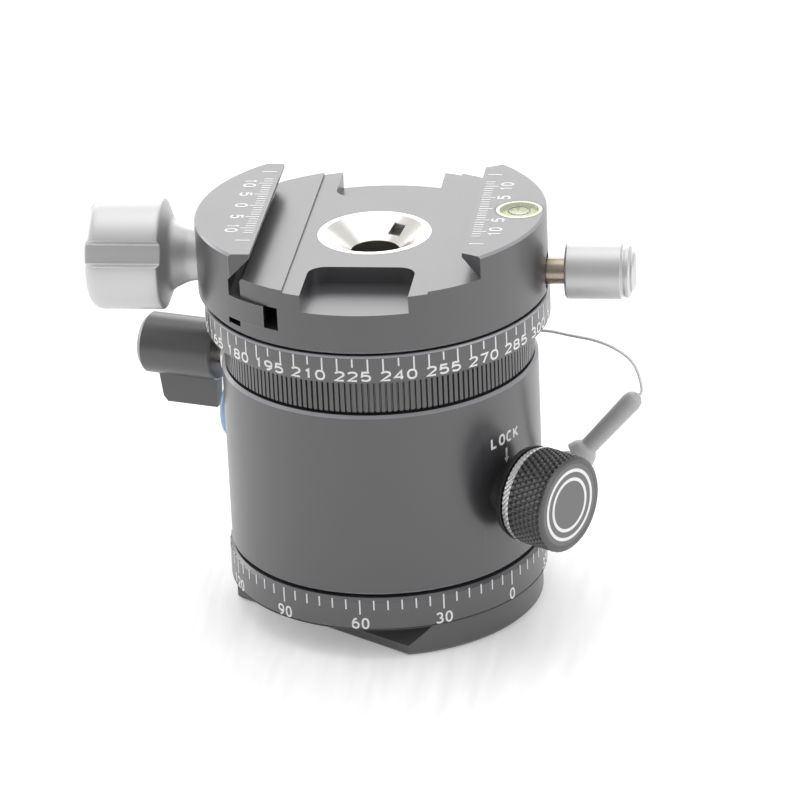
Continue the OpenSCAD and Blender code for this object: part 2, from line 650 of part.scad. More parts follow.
module index_pin() color("silver") radial(index_az, pin_z) difference() {
    union() {
        translate([0, 0, pin_r0]) cylinder(r1 = pin_tip - 0.4, r2 = pin_tip, h = 0.6, $fn = 48);
        translate([0, 0, pin_r0 + 0.59]) cylinder(r = pin_tip, h = shaft_r0 - pin_r0, $fn = 48);
        translate([0, 0, shaft_r0]) cylinder(r = pin_shaft, h = slot_end + 1.0 - shaft_r0);
        translate([0, 0, shaft_r0]) cylinder(r = 3.7, h = collar_t);
    }
    translate([0, -8, cam_r]) rotate([-90, 0, 0]) cylinder(r = 0.75, h = 16, $fn = 32);
}

module cam_pin() color("silver") radial(index_az, pin_z)
    translate([0, -6.4, cam_r]) rotate([-90, 0, 0]) cylinder(r = 0.75, h = 12.8, $fn = 32);

module index_knob() color("dimgray") radial(index_az, pin_z) difference() {
    union() {
        translate([0, 0, index_r0 + 1.15]) linear_extrude(index_knob_len - 1.55) grooved(index_knob_r, 64, 0.3);
        translate([0, 0, index_r1 - 0.41]) cylinder(r1 = index_knob_r - 0.05, r2 = index_knob_r - 0.4, h = 0.41);
    }
    translate([0, 0, index_r0 - 1]) cylinder(r = barrel_r + run, h = 4);
    translate([0, 0, index_r0 + 1.5]) cylinder(r = 6.8, h = index_knob_len - 3.1);
    translate([0, 0, index_r1 - 0.5]) cylinder(r = 7.3, h = 2);
}

module index_band() color("silver") radial(index_az, pin_z) difference() {
    translate([0, 0, index_r0]) lathe([[0, 0], [index_knob_r - 0.45, 0], [index_knob_r, 0.45],
        [index_knob_r + 0.05, 1.15], [0, 1.15]]);
    translate([0, 0, index_r0 - 1]) cylinder(r = barrel_r + run, h = 4);
}

module index_face() color("dimgray") radial(index_az, pin_z) difference() {
    translate([0, 0, index_r1 - 0.5]) cylinder(r = 7.3, h = 0.5);
    for (q = [6.44, 4.87]) washer(q, q - 0.58, index_r1 - 0.2, 1);
}

module index_inlay() color("silver") radial(index_az, pin_z)
    for (q = [6.44, 4.87]) washer(q, q - 0.58, index_r1 - 0.2, 0.2);

// ---- wing knob ----

wing_pad_r0 = drum_r + gap + pad_travel;
module wing_pad() color("goldenrod") radial(wing_az, wing_z)
    translate([0, 0, wing_pad_r0]) cylinder(r = pad_r, h = 3.0);

module wing_screw() color("silver") radial(wing_az, wing_z)
    translate([0, 0, wing_pad_r0 + 3]) cylinder(r = pad_r, h = wing_r1 - 6 - wing_pad_r0);

module wing_washer() color("silver") radial(wing_az, wing_z) washer(4.1, pad_r, seat_r + 1.0, 0.8);

module wing_knob() color("dimgray") radial(wing_az, wing_z) difference() {
    union() {
        translate([0, 0, wing_r0]) lathe([[0, 0], [wing_r - 0.3, 0], [wing_r, 0.3],
            [wing_r, wing_len - 0.9], [wing_r - 0.9, wing_len], [0, wing_len]]);
        // wing, hanging below the hub
        rotate([90, 0, 0]) linear_extrude(wing_t, center = true) polygon([
            [0, wing_r0 + 0.5], [0, wing_r0 + 12.2], [wing_r, wing_r0 + 12.0], [wing_r + 4.4, wing_r0 + 11.4],
            [wing_r + 5.4, wing_r0 + 10.6], [wing_r + 5.4, wing_r0 + 0.9], [wing_r, wing_r0 + 0.6]]);
    }
    translate([0, 0, wing_r0 - 1]) cylinder(r = pad_r, h = wing_len - 2);
    translate([0, 0, wing_r1 - 0.7]) cylinder(r = 3.6, h = 2);
}

module wing_cap() color("dimgray") radial(wing_az, wing_z) translate([0, 0, wing_r1 - 0.7]) cylinder(r = 3.6, h = 0.6);

// ---- drag cap ----

module drag_cap() color("steelblue") radial(drag_az, drag_z) difference() {
    translate([0, 0, seat_r + gap]) lathe([[0, 0], [drag_r, 0], [drag_r, drag_face - seat_r - gap - 0.5],
        [drag_r - 0.5, drag_face - seat_r - gap], [0, drag_face - seat_r - gap]]);
    translate([0, 0, seat_r - 1]) cylinder(r = drag_shaft_r, h = 2.1);
    translate([-0.6, -4, drag_face - 0.6]) cube([1.2, 8, 2]);
}

module drag_shaft() color("silver") radial(drag_az, drag_z) union() {
    translate([0, 0, body_bore + gap]) cylinder(r = drag_shaft_r, h = seat_r + 1.1 - body_bore - gap);
    translate([0.5, 0, drum_r + 1.4]) cylinder(r = 0.9, h = body_bore + gap - drum_r - 1.39, $fn = 32);
}

// ---- lever ----

lever_pad_r0 = hub_r + gap + pad_travel;
module lever_pad() color("goldenrod") radial(lever_az, lever_z)
    translate([0, 0, lever_pad_r0]) cylinder(r = lever_pad_r, h = 3.4);

module lever_screw() color("silver") radial(lever_az, lever_z)
    translate([0, 0, lever_pad_r0 + 3.4]) cylinder(r = lever_pad_r, h = lever_screw_end - lever_pad_r0 - 3.4);

module lever_hub() color("dimgray") radial(lever_az, lever_z) difference() {
    translate([0, 0, seat_r + 1.1]) lathe([[0, 0], [3.9, 0], [4.2, 0.3], [4.2, 4.6], [3.6, 5.8], [0, 5.8]]);
    translate([0, 0, seat_r]) cylinder(r = lever_pad_r, h = lever_screw_end - seat_r);
    // socket that the arm is screwed into
    translate([0, 0, lever_x]) rotate([0, -lever_tilt, 0]) translate([0, 0, lever_pad_r + 1.0]) cylinder(r = 1.2, h = 10, $fn = 48);
}

module lever_arm() color("dimgray") radial(lever_az, lever_z) translate([0, 0, lever_x]) rotate([0, -lever_tilt, 0])
    difference() {
        union() {
            translate([0, 0, lever_pad_r + 1.0]) cylinder(r = 1.2, h = 3, $fn = 48);
            lathe([[0, 5.0], [2.9, 5.0], [2.35, 6.6], [1.65, 7.4], [1.6, 7.8], [1.8, lever_len],
                [1.55, lever_len + 0.95], [0.9, lever_len + 1.6], [0, lever_len + 1.8]]);
        }
        translate([0, 0, arm_end - wire_fit]) cylinder(r = wire_r + wire_fit, h = 10, $fn = 24);
    }

base_plate();
base_dial();
base_insert();
base_screws();
base_hub();
base_washer();
pivot_nut();
housing();
post_bush();
top_washer();
index_bush();
index_barrel();
index_spring();
tether_anchor();
tether_wire();
index_ring();
index_drum();
drum_screws();
drum_circlip();
thrust_ring();
clamp_disc();
centre_bushing();
clamp_spindle();
spindle_nut();
clamp_nut();
guide_pins();
jaw_springs();
level_cup();
level_fluid();
level_lens();
clamp_jaw();
jaw_washer();
clamp_knob();
knob_cap();
clamp_screw();
lock_pad();
lock_screw();
lock_knob();
lock_cap();
index_pin();
cam_pin();
index_knob();
index_band();
index_face();
index_inlay();
wing_pad();
wing_screw();
wing_washer();
wing_knob();
wing_cap();
drag_cap();
drag_shaft();
lever_pad();
lever_screw();
lever_hub();
lever_arm();
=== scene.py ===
"""Looks of a panoramic tripod head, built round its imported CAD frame.

The camera and the tether wire come first, then the dressed metal pieces, the
knobs and the grip ring, the markings, the level, and last the studio. Lengths
that are written as numbers here are millimetres, and metres() turns them into
Blender's metres. Only the studio's own lengths are metres.
"""

import json
import logging
import math
from dataclasses import dataclass
from enum import Enum
from typing import Callable, Optional, Sequence

import bmesh
import bpy
from mathutils import Matrix, Vector


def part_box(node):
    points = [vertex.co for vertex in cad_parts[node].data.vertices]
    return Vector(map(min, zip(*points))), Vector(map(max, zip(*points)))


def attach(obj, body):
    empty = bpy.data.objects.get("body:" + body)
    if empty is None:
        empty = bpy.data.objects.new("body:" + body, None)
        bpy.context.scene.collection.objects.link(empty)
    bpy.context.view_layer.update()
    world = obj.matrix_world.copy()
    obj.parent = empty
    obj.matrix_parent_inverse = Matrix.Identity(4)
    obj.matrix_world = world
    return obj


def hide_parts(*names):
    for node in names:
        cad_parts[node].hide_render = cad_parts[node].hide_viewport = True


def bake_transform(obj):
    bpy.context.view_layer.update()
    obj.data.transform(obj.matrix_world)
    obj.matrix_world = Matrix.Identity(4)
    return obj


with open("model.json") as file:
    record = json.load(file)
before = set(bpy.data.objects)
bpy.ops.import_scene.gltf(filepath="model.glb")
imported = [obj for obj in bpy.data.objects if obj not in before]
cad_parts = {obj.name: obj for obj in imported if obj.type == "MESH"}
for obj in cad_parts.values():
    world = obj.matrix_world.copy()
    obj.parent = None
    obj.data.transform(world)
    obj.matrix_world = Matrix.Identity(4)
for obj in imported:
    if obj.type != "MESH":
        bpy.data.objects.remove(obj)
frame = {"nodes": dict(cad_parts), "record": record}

LOG = logging.getLogger("tripod_head")
MM = 0.001
Point = tuple[float, float, float]
Flat = tuple[float, float]


def metres(*values: float) -> Vector:
    """Turn millimetres into a vector in metres.

    Args:
        values: three lengths in millimetres.

    Returns:
        The same point in metres.
    """
    return Vector([v * MM for v in values])


# --------------------------------------------------------------------------
# sizes of the frame
# --------------------------------------------------------------------------


@dataclass(frozen=True)
class Ring:
    """A band of a vertical cylinder, in millimetres."""

    radius: float
    low: float
    high: float


@dataclass(frozen=True)
class KnobAxis:
    """A knob's axis that points outwards from the head's own axis."""

    azimuth: float
    height: float

    def matrix(self) -> Matrix:
        """Work out the axis's frame.

        Returns:
            A frame whose +Z runs outwards along the axis.
        """
        turn = Matrix.Rotation(math.radians(self.azimuth), 4, "Z")
        lift = Matrix.Translation(metres(0, 0, self.height))
        tip = Matrix.Rotation(math.radians(90), 4, "Y")
        return turn @ lift @ tip


def span(node: str, axis: int) -> tuple[float, float]:
    """Measure a CAD node along one axis.

    Args:
        node: name of the CAD node.
        axis: 0, 1 or 2 for X, Y or Z.

    Returns:
        Its lowest and highest value in millimetres.
    """
    low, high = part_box(node)
    return low[axis] / MM, high[axis] / MM


HOUSING = Ring(span("housing", 0)[1], *span("housing", 2))
LOWER_DIAL = Ring(span("base_dial", 0)[1], *span("base_dial", 2))
RING_TOP = span("index_ring", 2)[1]
UPPER_DIAL = Ring(span("index_ring", 0)[1], RING_TOP - 5.0, RING_TOP)
LIP_TOP = span("clamp_disc", 2)[1]
INDEX_AXIS = KnobAxis(-31.9, 27.19)
WING_AXIS = KnobAxis(165.0, 42.66)
DRAG_AXIS = KnobAxis(165.0, 32.33)
LEVER_AXIS = KnobAxis(8.0, 20.7)
ANCHOR_AXIS = KnobAxis(44.0, 41.0)
LOCK_AXIS = KnobAxis(0.0, 61.74)
CLAMP_KNOB_AXIS = KnobAxis(0.0, 64.35)
LEVER_ARM_ROOT = 31.1
LEVER_ARM_TILT = 47.0
JAW_SHIFT = -1.1
UPRIGHT = Matrix.Identity(4)


# --------------------------------------------------------------------------
# camera
# --------------------------------------------------------------------------


@dataclass(frozen=True)
class Shot:
    """The photograph's camera: angles in degrees, lengths in millimetres."""

    azimuth: float = 7.896
    elevation: float = 24.011
    roll: float = -2.564
    distance: float = 800.0
    focal_px: float = 4547.0
    image_px: int = 800
    aside: float = 3.116
    height: float = 36.808
    sensor: float = 36.0

    def axes(self) -> tuple[Vector, Vector, Vector]:
        """Work out how the camera is turned.

        Returns:
            Its right, up and backward directions.
        """
        az, el, roll = (math.radians(a) for a in (self.azimuth, self.elevation, self.roll))
        back = Vector((math.sin(az) * math.cos(el), -math.cos(az) * math.cos(el), math.sin(el)))
        right = Vector((math.cos(az), math.sin(az), 0.0))
        up = back.cross(right)
        return (
            right * math.cos(roll) + up * math.sin(roll),
            up * math.cos(roll) - right * math.sin(roll),
            back,
        )

    def build(self) -> None:
        """Create the camera and make it the scene's own."""
        right, up, back = self.axes()
        data = bpy.data.cameras.new("photo_camera")
        data.sensor_width = self.sensor
        data.sensor_fit = "HORIZONTAL"
        data.lens = self.focal_px / self.image_px * self.sensor
        data.clip_start, data.clip_end = 0.01, 50.0
        camera = bpy.data.objects.new("photo_camera", data)
        place = metres(0, 0, self.height) + right * (self.aside * MM) + back * (self.distance * MM)
        camera.matrix_world = Matrix((
            (right.x, up.x, back.x, place.x),
            (right.y, up.y, back.y, place.y),
            (right.z, up.z, back.z, place.z),
            (0, 0, 0, 1),
        ))
        bpy.context.scene.collection.objects.link(camera)
        bpy.context.scene.camera = camera


# --------------------------------------------------------------------------
# materials
# --------------------------------------------------------------------------


class Texture(Enum):
    """Kinds of surface structure: name, detail of the grain and scale of the drift."""

    FILM = ("anodised_film", 3.0, 70.0)
    GROUND = ("ground_metal", 2.0, 90.0)
    TURNED = ("turned_metal", 2.0, 80.0)
    PAINT = ("filled_paint", 3.0, 70.0)
    CLEAR = ("clear_body", 3.0, 70.0)


@dataclass(frozen=True)
class Finish:
    """How one surface looks.

    The grain is the size of its fine noise in millimetres, the relief how strongly
    that noise stands out, the drift how far its tone wanders, and the edge how much
    brighter the painted highlight on its rounded edges is. A turned finish lies round its axis.
    """

    name: str
    colour: Point
    metallic: float
    roughness: float
    texture: Texture = Texture.FILM
    grain: float = 0.2
    relief: float = 0.2
    drift: float = 0.05
    edge: float = 0.0
    ior: float = 1.5
    alpha: float = 1.0
    axis: Optional[KnobAxis] = None


class Graph:
    """Small helper that adds and links shader nodes in one tree."""

    def __init__(self, tree: bpy.types.NodeTree) -> None:
        """Wrap a node tree.

        Args:
            tree: the tree that nodes are added to.
        """
        self.tree = tree
        self.column = 0

    def add(self, kind: str, **settings: object) -> bpy.types.Node:
        """Add a node.

        Args:
            kind: the node's type name.
            settings: attributes of the node to set.

        Returns:
            The new node.
        """
        node = self.tree.nodes.new(kind)
        node.location = (self.column * 190, -(self.column % 4) * 160)
        self.column += 1
        for name, value in settings.items():
            setattr(node, name, value)
        return node

    def link(self, source: bpy.types.NodeSocket, target: bpy.types.NodeSocket) -> None:
        """Link one socket to another."""
        self.tree.links.new(source, target)

    def feed(self, source: object, target: bpy.types.NodeSocket) -> None:
        """Give a socket its number, or link another socket to it.

        Args:
            source: a number or a socket.
            target: the socket that receives it.
        """
        if isinstance(source, (int, float)):
            target.default_value = source
        else:
            self.link(source, target)

    def math(self, operation: str, *values: object) -> bpy.types.NodeSocket:
        """Add a math node on sockets or numbers.

        Args:
            operation: the node's operation.
            values: one or two sockets or numbers.

        Returns:
            The result's socket.
        """
        node = self.add("ShaderNodeMath", operation=operation)
        for value, socket in zip(values, node.inputs):
            self.feed(value, socket)
        return node.outputs[0]

    def noise(self, vector: bpy.types.NodeSocket, scale: object,
              detail: float) -> bpy.types.NodeSocket:
        """Add a noise.

        Args:
            vector: the place that it reads.
            scale: its scale, a socket or a number.
            detail: its detail.

        Returns:
            The noise's socket.
        """
        node = self.add("ShaderNodeTexNoise")
        node.inputs["Detail"].default_value = detail
        self.link(vector, node.inputs["Vector"])
        self.feed(scale, node.inputs["Scale"])
        return node.outputs[0]

    def ranged(self, value: bpy.types.NodeSocket, source: Flat, target: Flat,
               **settings: object) -> bpy.types.NodeSocket:
        """Add a node that maps one range of numbers to another.

        Args:
            value: the socket to map.
            source: the range it comes from.
            target: the range it goes to.
            settings: attributes of the node to set.

        Returns:
            The result's socket.
        """
        node = self.add("ShaderNodeMapRange", **settings)
        names = ("From Min", "From Max", "To Min", "To Max")
        for name, number in zip(names, (*source, *target)):
            node.inputs[name].default_value = number
        self.link(value, node.inputs["Value"])
        return node.outputs[0]


class Groups:
    """Shared shader node groups, each built once."""

    STRETCH = (1.0, 1.0, 0.06)
    SPECK_SHARE = 0.7
    SMOOTHEST = 0.03
    BUMP_DEPTH = 0.00002
    _made: dict[Texture, bpy.types.NodeTree] = {}

    @classmethod
    def get(cls, texture: Texture) -> bpy.types.NodeTree:
        """Return the group of a texture, and build it the first time.

        Args:
            texture: which group is wanted.

        Returns:
            The group's node tree.
        """
        if texture not in cls._made:
            tree = bpy.data.node_groups.new(texture.value[0], "ShaderNodeTree")
            numbers = ("Roughness", "Grain", "Relief", "Drift", "Edge", "Highlight")
            sockets = [("Vector", "INPUT", "Vector"), ("Colour", "INPUT", "Color")]
            sockets += [(name, "INPUT", "Float") for name in numbers]
            sockets += [("Colour", "OUTPUT", "Color"), ("Roughness", "OUTPUT", "Float"),
                        ("Normal", "OUTPUT", "Vector")]
            for name, way, kind in sockets:
                tree.interface.new_socket(name, in_out=way, socket_type="NodeSocket" + kind)
            cls._fill(tree, texture)
            cls._made[texture] = tree
        return cls._made[texture]

    @classmethod
    def _fill(cls, tree: bpy.types.NodeTree, texture: Texture) -> None:
        """Turn a fine and a broad noise into colour, roughness and normal.

        Args:
            tree: the group to fill.
            texture: how its grain lies.
        """
        graph = Graph(tree)
        start, end = graph.add("NodeGroupInput"), graph.add("NodeGroupOutput")
        given = start.outputs
        _, detail, spread = texture.value
        scale = graph.math("DIVIDE", 1.0, graph.math("MULTIPLY", given["Grain"], MM))
        fine = graph.noise(cls._laid(graph, given["Vector"], texture), scale, detail)
        broad = graph.noise(given["Vector"], spread, 2.0)

        tone = graph.math("MULTIPLY", graph.math("SUBTRACT", broad, 0.5), given["Drift"])
        share = graph.math("MULTIPLY", given["Drift"], cls.SPECK_SHARE)
        speck = graph.math("MULTIPLY", graph.math("SUBTRACT", fine, 0.5), share)
        patchy = graph.math("ADD", 0.6, graph.math("MULTIPLY", broad, 0.8))
        # Painted highlight: faces marked for the edge highlight are brightened by Edge, mottled by
        # the broad noise.
        rub = graph.math("MULTIPLY", graph.math("MULTIPLY", given["Highlight"], patchy), given["Edge"])
        mottled = graph.math("ADD", graph.math("ADD", tone, speck), 1.0)
        scaled = graph.add("ShaderNodeVectorMath", operation="SCALE")
        graph.link(given["Colour"], scaled.inputs[0])
        graph.link(graph.math("ADD", mottled, rub), scaled.inputs["Scale"])
        graph.link(scaled.outputs[0], end.inputs["Colour"])

        rough = graph.math("ADD", given["Roughness"], graph.math("MULTIPLY", tone, 0.5))
        graph.link(graph.math("MAXIMUM", rough, cls.SMOOTHEST), end.inputs["Roughness"])
        bump = graph.add("ShaderNodeBump")
        bump.inputs["Distance"].default_value = cls.BUMP_DEPTH
        graph.link(given["Relief"], bump.inputs["Strength"])
        graph.link(fine, bump.inputs["Height"])
        graph.link(bump.outputs[0], end.inputs["Normal"])

    @classmethod
    def _laid(cls, graph: Graph, vector: bpy.types.NodeSocket,
              texture: Texture) -> bpy.types.NodeSocket:
        """Lay the grain: drawn out on ground metal, in rings on turned metal.

        Args:
            graph: where nodes are added.
            vector: the place on the surface.
            texture: which way the grain lies.

        Returns:
            The place that the grain's noise reads.
        """
        if texture is Texture.GROUND:
            stretch = graph.add("ShaderNodeVectorMath", operation="MULTIPLY")
            stretch.inputs[1].default_value = cls.STRETCH
            graph.link(vector, stretch.inputs[0])
            return stretch.outputs[0]
        if texture is Texture.TURNED:
            parts = graph.add("ShaderNodeSeparateXYZ")
            graph.link(vector, parts.inputs[0])
            x, y, z = parts.outputs
            square = graph.math("ADD", graph.math("MULTIPLY", x, x), graph.math("MULTIPLY", y, y))
            where = graph.add("ShaderNodeCombineXYZ")
            graph.link(graph.math("SQRT", square), where.inputs[0])
            graph.link(z, where.inputs[2])
            return where.outputs[0]
        return vector


class Palette:
    """Builds each finish's material once."""

    _made: dict[str, bpy.types.Material] = {}

    @classmethod
    def material(cls, finish: Finish) -> bpy.types.Material:
        """Return the material of a finish.

        Args:
            finish: what the surface looks like.

        Returns:
            The Blender material.
        """
        if finish.name in cls._made:
            return cls._made[finish.name]
        made = bpy.data.materials.new(finish.name)
        made.use_nodes = True
        graph = Graph(made.node_tree)
        shader = made.node_tree.nodes["Principled BSDF"]
        for socket in ("Metallic", "IOR", "Alpha"):
            shader.inputs[socket].default_value = getattr(finish, socket.lower())
        vector = graph.add("ShaderNodeTexCoord").outputs["Object"]
        if finish.axis is not None:
            mapping = graph.add("ShaderNodeMapping", vector_type="POINT")
            inverse = finish.axis.matrix().inverted()
            mapping.inputs["Location"].default_value = inverse.to_translation()
            mapping.inputs["Rotation"].default_value = inverse.to_euler("XYZ")
            graph.link(vector, mapping.inputs["Vector"])
            vector = mapping.outputs[0]
        group = graph.add("ShaderNodeGroup", node_tree=Groups.get(finish.texture))
        group.inputs["Colour"].default_value = (*finish.colour, 1.0)
        for socket in ("Roughness", "Grain", "Relief", "Drift", "Edge"):
            group.inputs[socket].default_value = getattr(finish, socket.lower())
        graph.link(vector, group.inputs["Vector"])
        # The mesh attribute marks the rounded edges and ridges that get the painted edge highlight.
        highlit = graph.add("ShaderNodeAttribute", attribute_name="edge_highlight")
        graph.link(highlit.outputs["Fac"], group.inputs["Highlight"])
        for source, target in (("Colour", "Base Color"), ("Roughness", "Roughness"),
                               ("Normal", "Normal")):
            graph.link(group.outputs[source], shader.inputs[target])
        cls._made[finish.name] = made
        return made


# Each finish's edge sets the painted highlight on its rounded edges.
BLACK = Finish("black_anodised", (0.052, 0.052, 0.056), 0.0, 0.32,
               grain=0.16, relief=0.18, drift=0.06, edge=5.0, ior=1.9)
BLACK_TURNED = Finish("black_turned", (0.050, 0.050, 0.054), 0.0, 0.30, Texture.TURNED,
                      grain=0.14, relief=0.22, drift=0.08, edge=6.0, ior=1.9)
BLACK_FOOT = Finish("black_foot", (0.058, 0.058, 0.062), 0.0, 0.32,
                    grain=0.16, relief=0.18, drift=0.07, edge=0.6, ior=1.9)
# Darker than the other blacks: painted shade among the knurl's grooves.
SHADED_KNURL = Finish("black_knurl_painted_shade", (0.020, 0.020, 0.022), 0.0, 0.34,
                     grain=0.12, drift=0.12, edge=2.2, ior=1.9)
# Darker and duller than the other blacks: painted shade of the deep gap behind the index knob's
# band.
SHADED_COLLAR = Finish("black_collar_painted_shade", (0.018, 0.018, 0.019), 0.0, 0.42, grain=0.16, drift=0.08)
BLACK_CAST = Finish("black_moulded", (0.055, 0.055, 0.057), 0.0, 0.36,
                    grain=0.18, relief=0.25, drift=0.08, edge=3.0, ior=1.8)
BLACK_FACE = Finish("black_face", (0.115, 0.115, 0.118), 0.0, 0.40, Texture.TURNED,
                    grain=0.10, relief=0.3, drift=0.06, ior=1.8, axis=INDEX_AXIS)
RUBBERY = Finish("lever_coating", (0.52, 0.52, 0.522), 0.0, 0.5, relief=0.3, drift=0.08, ior=1.6)
GREY_HUB = Finish("grey_hub", (0.42, 0.43, 0.45), 1.0, 0.3, Texture.TURNED,
                  grain=0.15, relief=0.3, drift=0.08)
SILVER = Finish("silver_anodised", (0.61, 0.61, 0.608), 0.82, 0.47,
                grain=0.14, relief=0.14, edge=0.15)
SILVER_RING = Finish("silver_ring", (0.80, 0.80, 0.81), 0.6, 0.35, Texture.TURNED,
                     grain=0.1, axis=INDEX_AXIS)
STEEL = Finish("ground_steel", (0.70, 0.68, 0.65), 1.0, 0.24, Texture.TURNED,
               grain=0.18, relief=0.4, drift=0.08)
SHAFT = Finish("lock_shaft", (0.40, 0.34, 0.27), 1.0, 0.28, Texture.GROUND,
               grain=0.3, relief=0.4, drift=0.2)
WIRE = Finish("tether_wire", (0.93, 0.93, 0.92), 0.0, 0.35, relief=0.1)
BRASS = Finish("turned_brass", (0.62, 0.46, 0.24), 1.0, 0.30, Texture.TURNED,
               relief=0.4, drift=0.1)
SLIP = Finish("slip_plastic", (0.80, 0.80, 0.77), 0.0, 0.45, grain=0.4)
BLUE = Finish("blue_anodised", (0.36, 0.50, 0.72), 0.3, 0.36, Texture.TURNED,
              grain=0.14, relief=0.25, drift=0.06, axis=DRAG_AXIS)
PAINT = Finish("white_paint", (0.90, 0.90, 0.89), 0.0, 0.5, Texture.PAINT, relief=0.4)
ETCH = Finish("laser_etch", (0.90, 0.90, 0.90), 0.0, 0.5, Texture.PAINT,
              grain=0.12, relief=0.3, drift=0.08)
FLUID = Finish("level_fluid", (0.74, 0.80, 0.50), 0.0, 0.25, Texture.CLEAR,
               grain=1.0, relief=0.05, ior=1.33)
BUBBLE = Finish("level_bubble", (0.84, 0.87, 0.70), 0.0, 0.1, Texture.CLEAR,
                grain=1.0, relief=0.02, drift=0.02, ior=1.3)
LEVEL_RIM = Finish("level_rim", (0.78, 0.82, 0.60), 0.0, 0.3, Texture.CLEAR,
                   grain=1.0, relief=0.05, drift=0.03, ior=1.4)
GLASS = Finish("level_lens", (0.96, 0.98, 0.96), 0.0, 0.04, Texture.CLEAR,
               grain=1.0, relief=0.02, drift=0.01, ior=1.45, alpha=0.12)
INK = Finish("level_ink", (0.08, 0.09, 0.06), 0.0, 0.5, Texture.PAINT, relief=0.1)


# --------------------------------------------------------------------------
# mesh helpers
# --------------------------------------------------------------------------


@dataclass(frozen=True)
class Piece:
    """A mesh piece that rides on a body and stands for CAD nodes."""

    name: str
    body: str
    slot: str
    finish: Finish

    def build(self, mesh: bmesh.types.BMesh, smooth: float = 35.0,
              stands_for: Sequence[str] = ()) -> None:
        """Args:
            mesh: the geometry, in metres; it is freed.
            smooth: edges sharper than this many degrees stay sharp.
            stands_for: CAD nodes that it replaces.
        """
        data = bpy.data.meshes.new(self.name)
        bmesh.ops.recalc_face_normals(mesh, faces=mesh.faces)
        mesh.to_mesh(data)
        mesh.free()
        data.polygons.foreach_set("use_smooth", [True] * len(data.polygons))
        data.set_sharp_from_angle(angle=math.radians(smooth))
        self.adopt(data, stands_for)

    def adopt(self, data: bpy.types.Mesh, stands_for: Sequence[str] = ()) -> None:
        """Make the object from mesh data that has its shading.

        Args:
            data: the mesh.
            stands_for: CAD nodes that it replaces.
        """
        data.materials.clear()
        data.materials.append(Palette.material(self.finish))
        made = bpy.data.objects.new(self.name, data)
        bpy.context.scene.collection.objects.link(made)
        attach(made, self.body)
        if stands_for:
            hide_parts(*stands_for)
        LOG.info("piece %s: %d faces", self.name, len(data.polygons))


def lathe(outline: Sequence[Flat], place: Matrix, steps: int = 160,
          relief: Optional[Callable[[float, float, float], float]] = None, rub: float = 0.0,
          highlit: Sequence[int] = ()) -> bmesh.types.BMesh:
    """Turn a closed outline round the local Z axis.

    Args:
        outline: closed (radius, height) corners in millimetres.
        place: frame of the axis.
        steps: facets round the axis.
        relief: gives an extra radius in millimetres for angle, radius and height.
        rub: depth in millimetres down to which a relief's ridges get a painted highlight.
        highlit: which corners of the outline get a painted highlight.

    Returns:
        A new mesh with the surface.
    """
    mesh = bmesh.new()
    rings = []
    edge_highlight = mesh.verts.layers.float.new("edge_highlight")
    for corner, (radius, height) in enumerate(outline):
        ring = []
        for step in range(steps):
            angle = 2 * math.pi * step / steps
            change = relief(angle, radius, height) if relief else 0.0
            grown = radius + change
            spot = metres(grown * math.cos(angle), grown * math.sin(angle), height)
            ring.append(mesh.verts.new(place @ spot))
            # Painted highlight on the relief's ridges and on the listed corners.
            if rub and change < 0:
                ring[-1][edge_highlight] = max(0.0, 1 + change / rub)
            if corner in highlit:
                ring[-1][edge_highlight] = 1.0
        rings.append(ring)
    for one, two in zip(rings, rings[1:] + rings[:1]):
        wall(mesh, one, two)
    return mesh


def wall(mesh: bmesh.types.BMesh, one: Sequence[bmesh.types.BMVert],
         two: Sequence[bmesh.types.BMVert]) -> None:
    """Join two closed rings of vertices with quads.

    Args:
        mesh: receives the faces.
        one: the first ring.
        two: the second ring, with as many vertices.
    """
    for index in range(len(one)):
        after = (index + 1) % len(one)
        mesh.faces.new((one[index], one[after], two[after], two[index]))


def ring_outline(inner: float, outer: float, low: float, high: float) -> list[Flat]:
    """Return the outline of a plain ring.

    Args:
        inner: its inner radius in millimetres.
        outer: its outer radius.
        low: the height of its lower face.
        high: the height of its upper face.

    Returns:
        Its four corners.
    """
    return [(inner, low), (outer, low), (outer, high), (inner, high)]


def curve(knots: Sequence[Vector], steps: int) -> list[Vector]:
    """Lead a smooth line through knots.

    Args:
        knots: the points that the line passes.
        steps: parts between two knots.

    Returns:
        The line's points.
    """
    last = len(knots) - 1
    line = []
    for index in range(last):
        a, b = knots[max(0, index - 1)], knots[index]
        c, d = knots[index + 1], knots[min(last, index + 2)]
        for step in range(steps):
            t = step / steps
            bend = (2 * a - 5 * b + 4 * c - d) * t * t
            line.append(0.5 * (2 * b + (c - a) * t + bend + (3 * b - a - 3 * c + d) * t ** 3))
    return line + [knots[-1]]


def split(arm: Vector, axis: Vector) -> Vector:
    """Return the part of a vector that stands square to an axis.

    Args:
        arm: the vector.
        axis: the axis's direction.

    Returns:
        What is left without the part along the axis.
    """
    return arm - axis * arm.dot(axis)


@dataclass(frozen=True)
class Turned:
    """What a face shares with the turned surface it lies on."""

    NEAR_AXIS = 1e-7

    origin: Vector
    axis: Vector
    outward: float
    rise: float

    def normal(self, place: Vector) -> Optional[Vector]:
        """Find the turned surface's normal.

        Args:
            place: a point of the surface.

        Returns:
            The normal, or None on the axis.
        """
        arm = split(place - self.origin, self.axis)
        if arm.length < self.NEAR_AXIS:
            return None
        return arm.normalized() * self.outward + self.axis * self.rise


